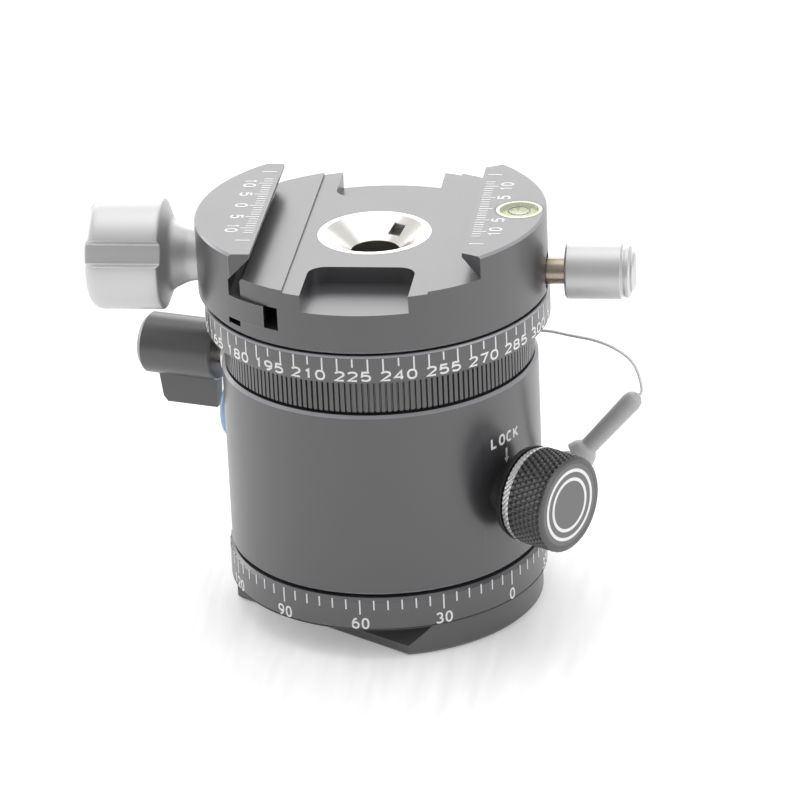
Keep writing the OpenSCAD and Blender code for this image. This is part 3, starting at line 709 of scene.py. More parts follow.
def turned_face(centre: Vector, normal: Vector, corners: Sequence[Vector],
                places: Sequence[Matrix]) -> Optional[Turned]:
    """Find the axis that a face is turned about.

    Args:
        centre: the face's centre.
        normal: its normal.
        corners: its corners.
        places: frames whose local Z are possible axes.

    Returns:
        The face's place on a turned surface, or None where it is on none.
    """
    level, askew, narrow = 0.9995, 0.07, 0.99
    for place in places:
        origin, axis = place.to_translation(), place.to_3x3().col[2].normalized()
        arm = split(centre - origin, axis)
        rise = normal.dot(axis)
        if arm.length < 1e-6 or abs(rise) > level:
            continue
        out = arm.normalized()
        if abs(normal.dot(axis.cross(out))) > askew:
            continue
        reaches = [split(corner - origin, axis) for corner in corners]
        if all(r.length > Turned.NEAR_AXIS and r.normalized().dot(out) > narrow for r in reaches):
            return Turned(origin, axis, normal.dot(out), rise)
    return None


@dataclass(frozen=True)
class EdgeWear:
    """Which faces of rounded edges get the painted highlight; widths in millimetres."""

    widest: float = 0.09
    slopes: Flat = (0.25, 0.97)
    reach: float = 0.6

    def rubs(self, spots: list[Vector], area: float, home: Optional[Turned]) -> bool:
        """Tell whether a face is a narrow one on a rounded edge.

        Args:
            spots: its corners.
            area: its area in square metres.
            home: its place on a turned surface.

        Returns:
            Whether it gets the painted highlight.
        """
        if home and self.slopes[0] < abs(home.rise) < self.slopes[1]:
            along = [spot.dot(home.axis) for spot in spots]
            return max(along) - min(along) < self.reach * MM
        longest = max((a - b).length for a, b in zip(spots, spots[1:] + spots[:1]))
        return home is None and area / max(longest, 1e-9) < self.widest * MM


def true_shading(data: bpy.types.Mesh, places: Sequence[Matrix], angle: float = 40.0) -> None:
    """Shade turned faces by their surface, and rounded edges by their larger neighbours.

    The narrow faces of the rounded edges also get their painted highlight here.

    Args:
        data: the mesh.
        places: frames whose local Z are the axes of its turned surfaces.
        angle: faces that meet at less than this many degrees shade as one.
    """
    spots = [v.co.copy() for v in data.vertices]
    faces = [(list(f.vertices), f.normal.copy(), f.area) for f in data.polygons]
    homes = [turned_face(f.center, f.normal, [spots[v] for v in f.vertices], places)
             for f in data.polygons]
    around: list[list[int]] = [[] for _ in spots]
    for index, (corners, _, _) in enumerate(faces):
        for vertex in corners:
            around[vertex].append(index)
    limit = math.cos(math.radians(angle))

    def at(index: int, vertex: int) -> Vector:
        """Return a face's own normal at one of its corners."""
        home = homes[index]
        return (home.normal(spots[vertex]) if home else None) or faces[index][1]

    normals = []
    edge_highlight = []
    for index, (corners, _, area) in enumerate(faces):
        for vertex in corners:
            own = at(index, vertex)
            total = Vector((0.0, 0.0, 0.0))
            for other in around[vertex]:
                theirs = at(other, vertex)
                if own.dot(theirs) > limit:
                    total += theirs * faces[other][2]
            normals.append(total.normalized() if total.length > 0 else own)
        # Narrow faces of rounded edges get the painted highlight.
        lit_edge = EdgeWear().rubs([spots[v] for v in corners], area, homes[index])
        edge_highlight += [float(lit_edge)] * len(corners)
    data.polygons.foreach_set("use_smooth", [True] * len(faces))
    data.normals_split_custom_set(normals)
    data.attributes.new("edge_highlight", "FLOAT", "CORNER").data.foreach_set("value", edge_highlight)


def softened(node: str, width: float, segments: int = 2, angle: float = 32.0) -> bpy.types.Mesh:
    """Copy a CAD node's mesh with its sharp edges rounded.

    Args:
        node: name of the CAD node.
        width: size of the rounding in millimetres.
        segments: facets across it.
        angle: edges sharper than this many degrees are rounded.

    Returns:
        New mesh data; the CAD node's own mesh isn't changed.
    """
    one_spot, one_plane = 2e-7, math.radians(0.4)
    mesh = bmesh.new()
    mesh.from_mesh(frame["nodes"][node].data)
    bmesh.ops.remove_doubles(mesh, verts=mesh.verts, dist=one_spot)
    bmesh.ops.dissolve_limit(mesh, angle_limit=one_plane, verts=mesh.verts, edges=mesh.edges)
    data = bpy.data.meshes.new(node + "_soft")
    mesh.to_mesh(data)
    mesh.free()
    holder = bpy.data.objects.new("holder", data)
    bevel = holder.modifiers.new("edges", "BEVEL")
    bevel.limit_method = "ANGLE"
    bevel.angle_limit = math.radians(angle)
    bevel.width = width * MM
    bevel.segments = segments
    bevel.use_clamp_overlap = True
    return applied(holder)


def applied(holder: bpy.types.Object) -> bpy.types.Mesh:
    """Turn an object with its modifiers or bevel into plain mesh data.

    Args:
        holder: the object; it is removed.

    Returns:
        The new mesh data.
    """
    bpy.context.scene.collection.objects.link(holder)
    bpy.context.view_layer.update()
    depsgraph = bpy.context.evaluated_depsgraph_get()
    result = bpy.data.meshes.new_from_object(holder.evaluated_get(depsgraph))
    bpy.data.objects.remove(holder)
    return result


# --------------------------------------------------------------------------
# markings
# --------------------------------------------------------------------------


class Surface:
    """Something flat drawings are laid on."""

    def place(self, across: float, along: float, lift: float) -> Vector:
        """Find where a drawing's point lies.

        Args:
            across: to the right, in millimetres.
            along: upwards in the drawing, in millimetres.
            lift: out of the surface, in millimetres.

        Returns:
            Its place in metres.
        """
        raise NotImplementedError


@dataclass(frozen=True)
class Barrel(Surface):
    """The outside of a vertical cylinder, with a drawing at an azimuth and height."""

    radius: float
    azimuth: float
    height: float

    def place(self, across: float, along: float, lift: float) -> Vector:
        """Wrap a drawing's point round the cylinder.

        Args:
            across: to the right, in millimetres.
            along: upwards in the drawing.
            lift: out of the surface.

        Returns:
            Its place in metres.
        """
        angle = math.radians(self.azimuth) + across / self.radius
        reach = self.radius + lift
        return metres(reach * math.cos(angle), reach * math.sin(angle), self.height + along)


@dataclass(frozen=True)
class Table(Surface):
    """A level face, with its drawing turned by an angle in degrees."""

    origin: Point
    turn: float

    def place(self, across: float, along: float, lift: float) -> Vector:
        """Lay a drawing's point on the face.

        Args:
            across: to the right, in millimetres.
            along: upwards in the drawing.
            lift: out of the surface.

        Returns:
            Its place in metres.
        """
        turn = math.radians(self.turn)
        cos, sin = math.cos(turn), math.sin(turn)
        x, y, z = self.origin
        return metres(x + across * cos - along * sin, y + across * sin + along * cos, z + lift)


@dataclass(frozen=True)
class Hand:
    """How characters are written, in millimetres."""

    height: float
    width: float
    gap: float
    pen: float


class Drawing:
    """Collects strokes and characters as thin filled marks."""

    LIFT = 0.025
    ROOT = -0.05
    MITRE = 0.5

    def __init__(self) -> None:
        """Start with an empty mesh."""
        self.mesh = bmesh.new()

    def shape(self, surface: Surface, outline: Sequence[Flat]) -> None:
        """Draw a filled convex outline.

        Args:
            surface: what it is drawn on.
            outline: its corners in millimetres.
        """
        top, low = ([self.mesh.verts.new(surface.place(x, y, lift)) for x, y in outline]
                    for lift in (self.LIFT, self.ROOT))
        self.mesh.faces.new(top)
        self.mesh.faces.new(list(reversed(low)))
        wall(self.mesh, low, top)

    def bar(self, surface: Surface, half: float, low: float, high: float) -> None:
        """Draw a rectangle centred on the drawing's upright axis.

        Args:
            surface: what it is drawn on.
            half: half its width in millimetres.
            low: the height of its lower edge.
            high: the height of its upper edge.
        """
        self.shape(surface, ((-half, low), (half, low), (half, high), (-half, high)))

    def stroke(self, surface: Surface, line: Sequence[Flat], pen: float) -> None:
        """Draw a line with a pen; one that ends where it starts is closed.

        Args:
            surface: what it is drawn on.
            line: its points in millimetres.
            pen: its thickness in millimetres.
        """
        points = [Vector(p) for p in line]
        closed = (points[0] - points[-1]).length < 1e-6
        if closed:
            points.pop()
        count = len(points)
        rims = []
        for index, point in enumerate(points):
            ways = []
            if closed or index > 0:
                ways.append((point - points[index - 1]).normalized().orthogonal())
            if closed or index < count - 1:
                ways.append((points[(index + 1) % count] - point).normalized().orthogonal())
            side = sum(ways, Vector((0.0, 0.0))).normalized()
            side *= pen / 2 / max(self.MITRE, side.dot(ways[0]))
            left, right = point + side, point - side
            corners = ((left, self.LIFT), (right, self.LIFT), (right, self.ROOT), (left, self.ROOT))
            rims.append([self.mesh.verts.new(surface.place(*spot, lift)) for spot, lift in corners])
        for one, two in zip(rims, rims[1:] + (rims[:1] if closed else [])):
            wall(self.mesh, one, two)
        if not closed:
            self.mesh.faces.new(rims[0][::-1])
            self.mesh.faces.new(rims[-1])

    def write(self, surface: Surface, words: str, hand: Hand) -> None:
        """Write characters centred on the drawing's origin, upwards from it.

        Args:
            surface: what they are written on.
            words: the characters.
            hand: how they are written.
        """
        pitch, half = hand.width + hand.gap, hand.pen / 2
        start = -(len(words) * pitch - hand.gap) / 2
        for place, letter in enumerate(words):
            for line in STROKES[letter]:
                inked = [(start + place * pitch + half + x * (hand.width - hand.pen),
                          half + y * (hand.height - hand.pen)) for x, y in line]
                self.stroke(surface, inked, hand.pen)


def bow(x: float, y: float, wide: float, high: float, start: float, end: float) -> list[Flat]:
    """Lead a line along part of an oval.

    Args:
        x: the oval's centre, across.
        y: the oval's centre, upwards.
        wide: half its width.
        high: half its height.
        start: the angle where the line starts, in degrees.
        end: the angle where it ends.

    Returns:
        The line's points.
    """
    fullness, part = 0.86, 15
    steps = max(6, int(abs(end - start) / part))
    turns = [math.radians(start + (end - start) * step / steps) for step in range(steps + 1)]

    def full(value: float) -> float:
        """Fill the oval out a little towards its corners."""
        return math.copysign(abs(value) ** fullness, value)

    return [(x + wide * full(math.cos(t)), y + high * full(math.sin(t))) for t in turns]


# strokes of each character, in a box of one by one
STROKES: dict[str, list[list[Flat]]] = {
    "0": [bow(0.5, 0.5, 0.5, 0.5, 0, 360)],
    "1": [[(0.28, 0.8), (0.6, 1.0), (0.6, 0.0)]],
    "2": [bow(0.5, 0.72, 0.5, 0.28, 165, -30) + [(0.0, 0.0), (1.0, 0.0)]],
    "3": [bow(0.48, 0.75, 0.45, 0.25, 155, -90), bow(0.48, 0.25, 0.52, 0.25, 90, -155)],
    "4": [[(0.78, 0.0), (0.78, 1.0), (0.0, 0.28), (1.0, 0.28)]],
    "5": [[(0.92, 1.0), (0.14, 1.0), (0.06, 0.55)] + bow(0.48, 0.32, 0.52, 0.31, 120, -150)],
    "6": [bow(0.5, 0.3, 0.5, 0.3, 0, 360), bow(0.85, 0.3, 0.85, 0.7, 180, 95)],
    "7": [[(0.0, 1.0), (1.0, 1.0), (0.36, 0.0)]],
    "8": [bow(0.5, 0.76, 0.44, 0.24, 0, 360), bow(0.5, 0.26, 0.5, 0.26, 0, 360)],
    "9": [bow(0.5, 0.7, 0.5, 0.3, 0, 360), bow(0.15, 0.7, 0.85, 0.7, 0, -85)],
    "L": [[(0.0, 1.0), (0.0, 0.0), (0.85, 0.0)]],
    "O": [bow(0.5, 0.5, 0.5, 0.5, 0, 360)],
    "C": [bow(0.52, 0.5, 0.52, 0.5, 48, 312)],
    "K": [[(0.0, 0.0), (0.0, 1.0)], [(0.92, 1.0), (0.0, 0.38)], [(0.3, 0.58), (1.0, 0.0)]],
}


@dataclass(frozen=True)
class Dial:
    """A printed dial with a tick every 5 degrees.

    Lengths are millimetres and angles degrees. The azimuth is that of the start
    value, and the other values follow it in the way's direction. Ticks are the
    lengths with and without a value, and rim and foot the ticks' and the values'
    distances from the band's edges.
    """

    name: str
    body: str
    band: Ring
    hand: Hand
    azimuth: float
    start: int
    way: int
    labelled: int
    ticks: Flat
    pen: float
    rim: float
    foot: float

    def build(self) -> None:
        """Draw the ticks and the values."""
        drawing = Drawing()
        for value in range(0, 360, 5):
            azimuth = self.azimuth + self.way * (value - self.start)
            at_value, between = self.ticks
            length = between if value % self.labelled else at_value
            rim = Barrel(self.band.radius, azimuth, self.band.high - self.rim)
            drawing.bar(rim, self.pen / 2, -length, 0.0)
            if value % self.labelled == 0:
                foot = Barrel(self.band.radius, azimuth, self.band.low + self.foot)
                drawing.write(foot, str(value), self.hand)
        Piece(self.name, self.body, "body_black", PAINT).build(drawing.mesh)


@dataclass(frozen=True)
class FootLine:
    """The dark joint between the lower dial and the foot, in millimetres."""

    depth: float = 0.2
    proud: float = 0.008
    low: float = 0.01
    high: float = 0.17

    def build(self) -> None:
        """Turn the thin ring."""
        foot, radius = LOWER_DIAL.low, LOWER_DIAL.radius
        outline = ring_outline(radius - self.depth, radius + self.proud,
                               foot + self.low, foot + self.high)
        Piece("foot_line", "base", "body_black", INK).build(lathe(outline, UPRIGHT, 240))


@dataclass(frozen=True)
class LockSign:
    """LOCK above the index knob and an arrow that points at the knob.

    Lengths are millimetres and azimuths degrees. The shaft is half its width and
    its lower and upper end.
    """

    azimuth: float = -32.9
    foot: float = 35.7
    hand: Hand = Hand(2.1, 1.62, 0.34, 0.42)
    arrow_azimuth: float = -32.7
    shaft: tuple[float, float, float] = (0.23, 33.0, 34.8)
    head: tuple[Flat, Flat, Flat] = ((0.0, 32.0), (0.6, 33.05), (-0.6, 33.05))

    def build(self) -> None:
        """Write the word and draw the arrow."""
        drawing = Drawing()
        drawing.write(Barrel(HOUSING.radius, self.azimuth, self.foot), "LOCK", self.hand)
        arrow = Barrel(HOUSING.radius, self.arrow_azimuth, 0.0)
        drawing.bar(arrow, *self.shaft)
        drawing.shape(arrow, self.head)
        Piece("lock_sign", "housing", "body_black", PAINT).build(drawing.mesh)


@dataclass(frozen=True)
class LipScale:
    """A scale along one lip of the clamp, in millimetres.

    The marks run from inner to minor, or to major at every fifth one, and the
    values stand on a line at foot.
    """

    name: str
    body: str
    side: int
    centre: float
    inner: float
    minor: float
    major: float
    foot: float
    labels: tuple[int, ...]
    pitch: float = 1.05
    pen: float = 0.28
    end: float = 16.05
    end_pen: float = 0.32
    end_longer: float = 0.1
    hand: Hand = Hand(2.3, 1.65, 0.42, 0.36)

    def _mark(self, drawing: Drawing, y: float, outer: float, width: float) -> None:
        """Draw one mark across the lip.

        Args:
            drawing: receives the mark.
            y: where it is along the lip.
            outer: where it ends.
            width: its thickness.
        """
        middle, reach = (self.inner + outer) / 2, abs(outer - self.inner) / 2
        drawing.bar(Table((middle, y, LIP_TOP), 0.0), reach, -width / 2, width / 2)

    def build(self) -> None:
        """Draw the marks and the values."""
        drawing = Drawing()
        for step in range(-12, 13):
            outer = self.minor if step % 5 else self.major
            self._mark(drawing, self.centre + step * self.pitch, outer, self.pen)
        longest = self.major + self.end_longer * self.side
        for end in (-self.end, self.end):
            self._mark(drawing, self.centre + end, longest, self.end_pen)
        for value in self.labels:
            place = (self.foot, self.centre + value * self.pitch, LIP_TOP)
            drawing.write(Table(place, 90.0 * self.side), str(abs(value)), self.hand)
        Piece(self.name, self.body, "body_black", ETCH).build(drawing.mesh)


MARKINGS = (
    Dial("upper_dial_marks", "index_rotor", UPPER_DIAL, Hand(1.9, 1.8, 0.44, 0.36), azimuth=-91.1,
         start=225, way=1, labelled=15, ticks=(1.5, 2.4), pen=0.27, rim=0.45, foot=0.42),
    Dial("lower_dial_marks", "base", LOWER_DIAL, Hand(2.15, 1.38, 0.36, 0.34), azimuth=-33.2,
         start=0, way=-1, labelled=30, ticks=(2.75, 1.85), pen=0.25, rim=0.25, foot=0.22),
    FootLine(),
    LockSign(),
    LipScale("left_lip_scale", "jaw", side=-1, centre=1.1, inner=-19.35, minor=-21.0,
             major=-21.8, foot=-24.4, labels=(-10, -5, 0, 5, 10)),
    LipScale("right_lip_scale", "clamp", side=1, centre=0.24, inner=18.3, minor=19.9,
             major=20.65, foot=23.3, labels=(-10, -5, 5, 10)),
)


# --------------------------------------------------------------------------
# dressed pieces
# --------------------------------------------------------------------------


@dataclass(frozen=True)
class IndexKnob:
    """The knurled index knob, its silver band and its seat on the housing.

    Lengths are millimetres, and heights are measured out from the head's own axis.
    """

    radius: float = 8.55
    bore: float = 5.06
    face: float = 6.8
    rim: float = 7.3
    band_low: float = 32.43
    band_high: float = 33.95
    top: float = 40.83
    knurls: int = 46
    knurl_depth: float = 0.42
    knurl_slant: float = 32.0
    knurl_rows: int = 40
    hatches: int = 56
    hatch_depth: float = 0.26
    hatch_slant: float = 0.13
    hatched_from: float = 8.05
    neck: float = 4.85
    neck_bore: float = 4.3
    neck_top: float = 33.6
    flare: float = 30.9
    flare_top: float = 32.13
    flare_bore: float = 5.0
    boss: float = 7.5
    boss_bore: float = 4.86
    boss_step: float = 0.528
    boss_depth: float = 1.4
    boss_proud: float = 0.012

    def _knurl(self, angle: float, at: float, height: float) -> float:
        """Cut two crossing sets of grooves into the shell.

        Args:
            angle: round the knob's axis.
            at: the shell's own radius.
            height: along the axis.

        Returns:
            The change of the radius.
        """
        low, high = self.band_high, self.top
        if at < self.radius - 0.02 or height > high - 0.45 or height < low + 0.05:
            return 0.0
        turn = (height - low) * math.tan(math.radians(self.knurl_slant)) / self.radius
        one = (angle + turn) * self.knurls / (2 * math.pi)
        two = (angle - turn) * self.knurls / (2 * math.pi)
        wave = max(abs((one % 1.0) - 0.5), abs((two % 1.0) - 0.5)) * 2
        return -self.knurl_depth * max(0.0, (wave - 0.25) / 0.75) - 0.0005

    def _hatch(self, angle: float, at: float, height: float) -> float:
        """Cut slanted notches into the band's rim.

        Args:
            angle: round the knob's axis.
            at: the band's own radius.
            height: along the axis.

        Returns:
            The change of the radius.
        """
        if at < self.hatched_from:
            return 0.0
        turn = (height - self.band_low) * self.hatch_slant
        wave = ((angle + turn) * self.hatches / (2 * math.pi)) % 1.0
        return -self.hatch_depth * max(0.0, abs(wave - 0.5) * 2 - 0.45) * 1.8

    def _shell(self) -> None:
        """Build the knob's shell with crossed knurling."""
        low, high, radius, rows = self.band_high, self.top, self.radius, self.knurl_rows
        outline = [(self.face, low + 0.05), (self.bore, low + 0.05), (self.bore, low),
                   (radius - 0.25, low), (radius - 0.02, low + 0.04)]
        outline += [(radius, low + 0.06 + (high - 0.52 - low) * row / rows)
                    for row in range(rows + 1)]
        outline += [(radius - 0.1, high - 0.3), (radius - 0.4, high), (self.rim, high),
                    (self.rim, high - 0.5), (self.face, high - 1.6)]
        # The knurl's ridges get a painted highlight.
        mesh = lathe(outline, INDEX_AXIS.matrix(), self.knurls * 12, self._knurl, rub=0.2)
        Piece("index_knob_shell", "index_knob", "body_black", SHADED_KNURL).build(
            mesh, 50.0, ("index_knob",))

    def _band(self) -> None:
        """Build the silver band with its slanted hatching."""
        low, high, radius = self.band_low, self.band_high, self.radius
        outline = [(self.bore, high), (self.bore, low), (radius - 0.55, low)]
        outline += [(radius - 0.45 + 0.45 * t / 8, low + 0.02 + 1.1 * t / 8) for t in range(9)]
        outline += [(radius, high - 0.1), (radius, high)]
        mesh = lathe(outline, INDEX_AXIS.matrix(), self.hatches * 10, self._hatch)
        Piece("index_band_ring", "index_knob", "knob_silver", SILVER_RING).build(
            mesh, 45.0, ("index_band",))

    def _seat(self) -> None:
        """Build the barrel's slim neck and the flared collar behind the band."""
        inner, outer = HOUSING.radius - 3.0, self.flare_top
        neck, flare = self.neck, self.flare
        outline = [(self.neck_bore, inner), (neck, inner), (neck, flare - 0.15),
                   (neck + 0.15, flare), (7.9, flare), (8.0, flare + 0.1), (8.4, outer - 0.08),
                   (8.32, outer), (self.flare_bore, outer), (self.flare_bore, self.neck_top),
                   (self.neck_bore, self.neck_top)]
        # Its dark finish is painted shade of the gap round the collar.
        mesh = lathe(outline, INDEX_AXIS.matrix())
        Piece("index_seat", "housing", "body_black", SHADED_COLLAR).build(
            mesh, 40.0, ("index_barrel",))

    def _boss(self) -> None:
        """Close the housing's turned face round the slim neck."""
        place, radius = INDEX_AXIS.matrix(), HOUSING.radius
        face = radius + self.boss_proud
        root = face - self.boss_depth
        outline = [(self.boss_bore, root), (self.boss, root)]
        outline += [(self.boss - self.boss_step * step, face) for step in range(6)]
        mesh = lathe(outline, place)
        outwards, back = place.to_3x3() @ Vector((0.0, 0.0, 1.0)), place.inverted()
        for vert in mesh.verts:
            aside = (back @ vert.co).y / MM
            vert.co += outwards * (math.sqrt(radius ** 2 - aside ** 2) - radius) * MM
        Piece("index_boss", "housing", "body_black", BLACK_TURNED).build(mesh, 40.0)

    def build(self) -> None:
        """Build the shell, the band, the neck and the face round it."""
        self._shell()
        self._band()
        self._seat()
        self._boss()


@dataclass(frozen=True)
class GripRing:
    """The indexing rotor's ring: a fluted grip under the upper dial, in millimetres."""

    flutes: int = 171
    depth: float = 0.45
    grip: float = 27.15
    bore: float = 20.5
    recess: float = 25.6
    recess_height: float = 3.0

    def _flute(self, angle: float, radius: float, height: float) -> float:
        """Sink the narrow flutes between the grip's lands.

        Args:
            angle: round the ring's axis.
            radius: the ring's own radius.
            height: along the axis; the flutes are the same all the way up.

        Returns:
            The change of the radius.
        """
        if radius < self.grip - 0.4 or radius > self.grip + 0.1:
            return 0.0
        phase = (angle * self.flutes / (2 * math.pi) + 0.01) % 1.0
        return -self.depth if 0.7 < phase < 0.92 else 0.0

    def build(self) -> None:
        """Turn the ring with its flutes; the dial's upper edge gets a painted highlight."""
        foot, step, top = span("index_ring", 2)[0], UPPER_DIAL.low, UPPER_DIAL.high
        grip, dial, bore = self.grip, UPPER_DIAL.radius, self.bore
        sill = foot + self.recess_height
        outline = [(bore, sill), (self.recess, sill), (self.recess, foot), (grip - 0.3, foot),
                   (grip, foot + 0.3), (grip, step), (dial - 0.3, step), (dial - 0.1, step + 0.08),
                   (dial, step + 0.3), (dial, top - 0.36)]
        # The dial's rounded upper edge gets a painted highlight.
        edge = [(dial, top - 0.3), (dial - 0.1, top - 0.08), (dial - 0.3, top)]
        highlit = range(len(outline), len(outline) + len(edge))
        outline += edge + [(dial - 0.4, top), (bore, top)]
        mesh = lathe(outline, UPRIGHT, self.flutes * 8, self._flute, highlit=highlit)
        Piece("grip_ring", "index_rotor", "body_black", BLACK_TURNED).build(
            mesh, 32.0, ("index_ring",))


@dataclass(frozen=True)
class ClampKnob:
    """The lobed silver knob that drives the jaw; lengths in millimetres.

    Three grooves with a floor and two walls are blended into its turned form. The
    neck's points are how far it lies inside the radius, and how far past the length.
    """

    radius: float = 9.74
    length: float = 12.9
    end: float = 2.3
    floor: float = 8.39
    groove_width: float = 3.5
    groove_turn: float = 111.0
    blend: float = 0.22
    ungrooved: float = 5.7
    bore: float = 2.6
    neck: tuple[Flat, ...] = (
        (0.0, -0.3), (0.3, 0.15), (1.4, 0.62), (2.9, 1.2), (3.62, 1.8), (4.15, 2.7), (4.58, 3.6),
        (4.93, 4.5), (5.1, 5.4))
    neck_inside: float = 5.14

    def _soft(self, gap: float) -> float:
        """Return how far a rounded corner lies from a sharp one."""
        return self.blend * math.log(1 + math.exp(-abs(gap) / self.blend))

    def _groove(self, angle: float) -> Optional[float]:
        """Find the radius that the three grooves leave.

        Args:
            angle: round the knob's axis.

        Returns:
            The radius, or None between the grooves.
        """
        turn = math.radians((math.degrees(angle) + self.groove_turn + 60.0) % 120.0 - 60.0)
        floor = self.floor / math.cos(turn)
        slope = math.cos(turn) - 2 * abs(math.sin(turn))
        if slope < 0.2:
            return None
        wall_radius = (self.floor - self.groove_width) / slope
        return max(floor, wall_radius) + self._soft(floor - wall_radius)

    def _relief(self, angle: float, radius: float, height: float) -> float:
        """Blend the grooves into the knob's turned form.

        Args:
            angle: round the knob's axis.
            radius: the knob's own radius.
            height: along the axis; the grooves are the same all the way.

        Returns:
            The change of the radius.
        """
        groove = self._groove(angle)
        if radius < self.ungrooved or groove is None:
            return 0.0
        return min(radius, groove) - self._soft(radius - groove) - radius

    def build(self) -> None:
        """Turn the knob with its rounded end, grooves and flowing neck."""
        low, high = span("clamp_knob", 0)
        place = metres(low, 0, CLAMP_KNOB_AXIS.height)
        axis = Matrix.Translation(place) @ Matrix.Rotation(math.radians(90), 4, "Y")
        r, n, end = self.radius, self.length, self.end
        turns = [math.radians(90 * step / 12) for step in range(13)]
        round_end = [(r - end + end * math.sin(t), end - end * math.cos(t)) for t in turns]
        knots = [Vector((r - inside, n + past)) for inside, past in self.neck]
        knots.append(Vector((r - self.neck_inside, high - low)))
        neck = [tuple(point) for point in curve(knots, 5)]
        body = [(r, end + (n - 2.6) * step / 8) for step in range(1, 8)]
        outline = [(self.bore, 1.0), (5.6, 1.0), (5.6, 0.12), (5.72, 0.0)]
        outline += round_end + body + neck + [(self.bore, high - low)]
        mesh = lathe(outline, axis, 480, self._relief)
        Piece("lobed_knob", "clamp_knob", "knob_silver", SILVER).build(
            mesh, 40.0, ("clamp_knob",))


@dataclass(frozen=True)
class Tether:
    """The springy wire between the housing and the lever's tip, in millimetres."""

    radius: float = 0.3
    anchor_reach: float = 28.15
    tip_reach: float = 18.1
    anchored: int = 7

    def points(self) -> list[Vector]:
        """Lay out the wire's route, the same as in the part's source.

        Returns:
            Its points in metres.
        """
        az, lever = math.radians(ANCHOR_AXIS.azimuth), math.radians(LEVER_AXIS.azimuth)
        tilt = math.radians(LEVER_ARM_TILT)
        out = Vector((math.cos(az), math.sin(az), 0.0))
        arm = Vector((math.cos(tilt) * math.cos(lever), math.cos(tilt) * math.sin(lever),
                      math.sin(tilt)))
        root = Vector((LEVER_ARM_ROOT * math.cos(lever), LEVER_ARM_ROOT * math.sin(lever),
                       LEVER_AXIS.height))
        anchor = out * self.anchor_reach + Vector((0.0, 0.0, ANCHOR_AXIS.height))
        tip = root + arm * self.tip_reach
        top = HOUSING.high
        knots = [anchor, anchor + out * 1.3, anchor + out * 2.6,
                 Vector((27.2, 19.5, top - 4.1)), Vector((32.0, 15.0, top - 3.0)),
                 Vector((37.4, 11.0, top - 2.4)), Vector((41.6, 8.2, top - 3.2)),
                 Vector((44.2, 6.9, top - 5.4)), tip + arm * 3.4, tip + arm * 1.7, tip]
        return [p * MM for p in curve(knots, 3)]

    def build(self) -> None:
        line = self.points()
        data = bpy.data.curves.new("tether_line", "CURVE")
        data.dimensions = "3D"
        data.bevel_depth = self.radius * MM
        data.bevel_resolution = 4
        data.resolution_u = 3
        data.use_fill_caps = True
        spline = data.splines.new("POLY")
        spline.points.add(len(line) - 1)
        for point, place in zip(spline.points, line):
            point.co = (*place, 1.0)
        spline.use_smooth = True
        tube = applied(bpy.data.objects.new("tether_route", data))
        tube.materials.clear()
        tube.materials.append(Palette.material(WIRE))
        wire = bpy.data.objects.new("tether_line", tube)
        bpy.context.scene.collection.objects.link(wire)
        LOG.info("piece %s: %d faces", wire.name, len(tube.polygons))
        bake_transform(wire)
        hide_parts("tether_wire")


@dataclass(frozen=True)
class Level:
    """The level's printed circle, its bubble and the dark line round its cup.

    Lengths are millimetres. A ring is its inner and outer radius and its lower and
    upper height, from the lens's underside or from the top of the lip.
    """

    circle: tuple[float, float, float, float] = (1.78, 1.98, 0.50, 0.60)
    gap: tuple[float, float, float, float] = (4.08, 4.24, -0.3, 0.004)
    bubble_shift: Flat = (0.3, 0.2)
    bubble: tuple[Flat, ...] = (
        (0.02, -0.52), (0.9, -0.5), (1.35, -0.3), (1.45, -0.12), (1.3, -0.03), (0.02, -0.03))

    def build(self) -> None:
        """Add the three turned pieces."""
        low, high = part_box("level_lens")
        x, y, _ = ((low + high) / 2) / MM
        floor = low.z / MM
        aside, along = self.bubble_shift
        for name, slot, finish, outline, place, steps in (
                ("level_circle", "body_black", INK, ring_outline(*self.circle), (x, y, floor), 72),
                ("level_bubble", "level_glass", BUBBLE, self.bubble,
                 (x + aside, y + along, floor), 64),
                ("level_gap", "body_black", INK, ring_outline(*self.gap), (x, y, LIP_TOP), 96)):
            mesh = lathe(outline, Matrix.Translation(metres(*place)), steps)
            Piece(name, "clamp", slot, finish).build(mesh)


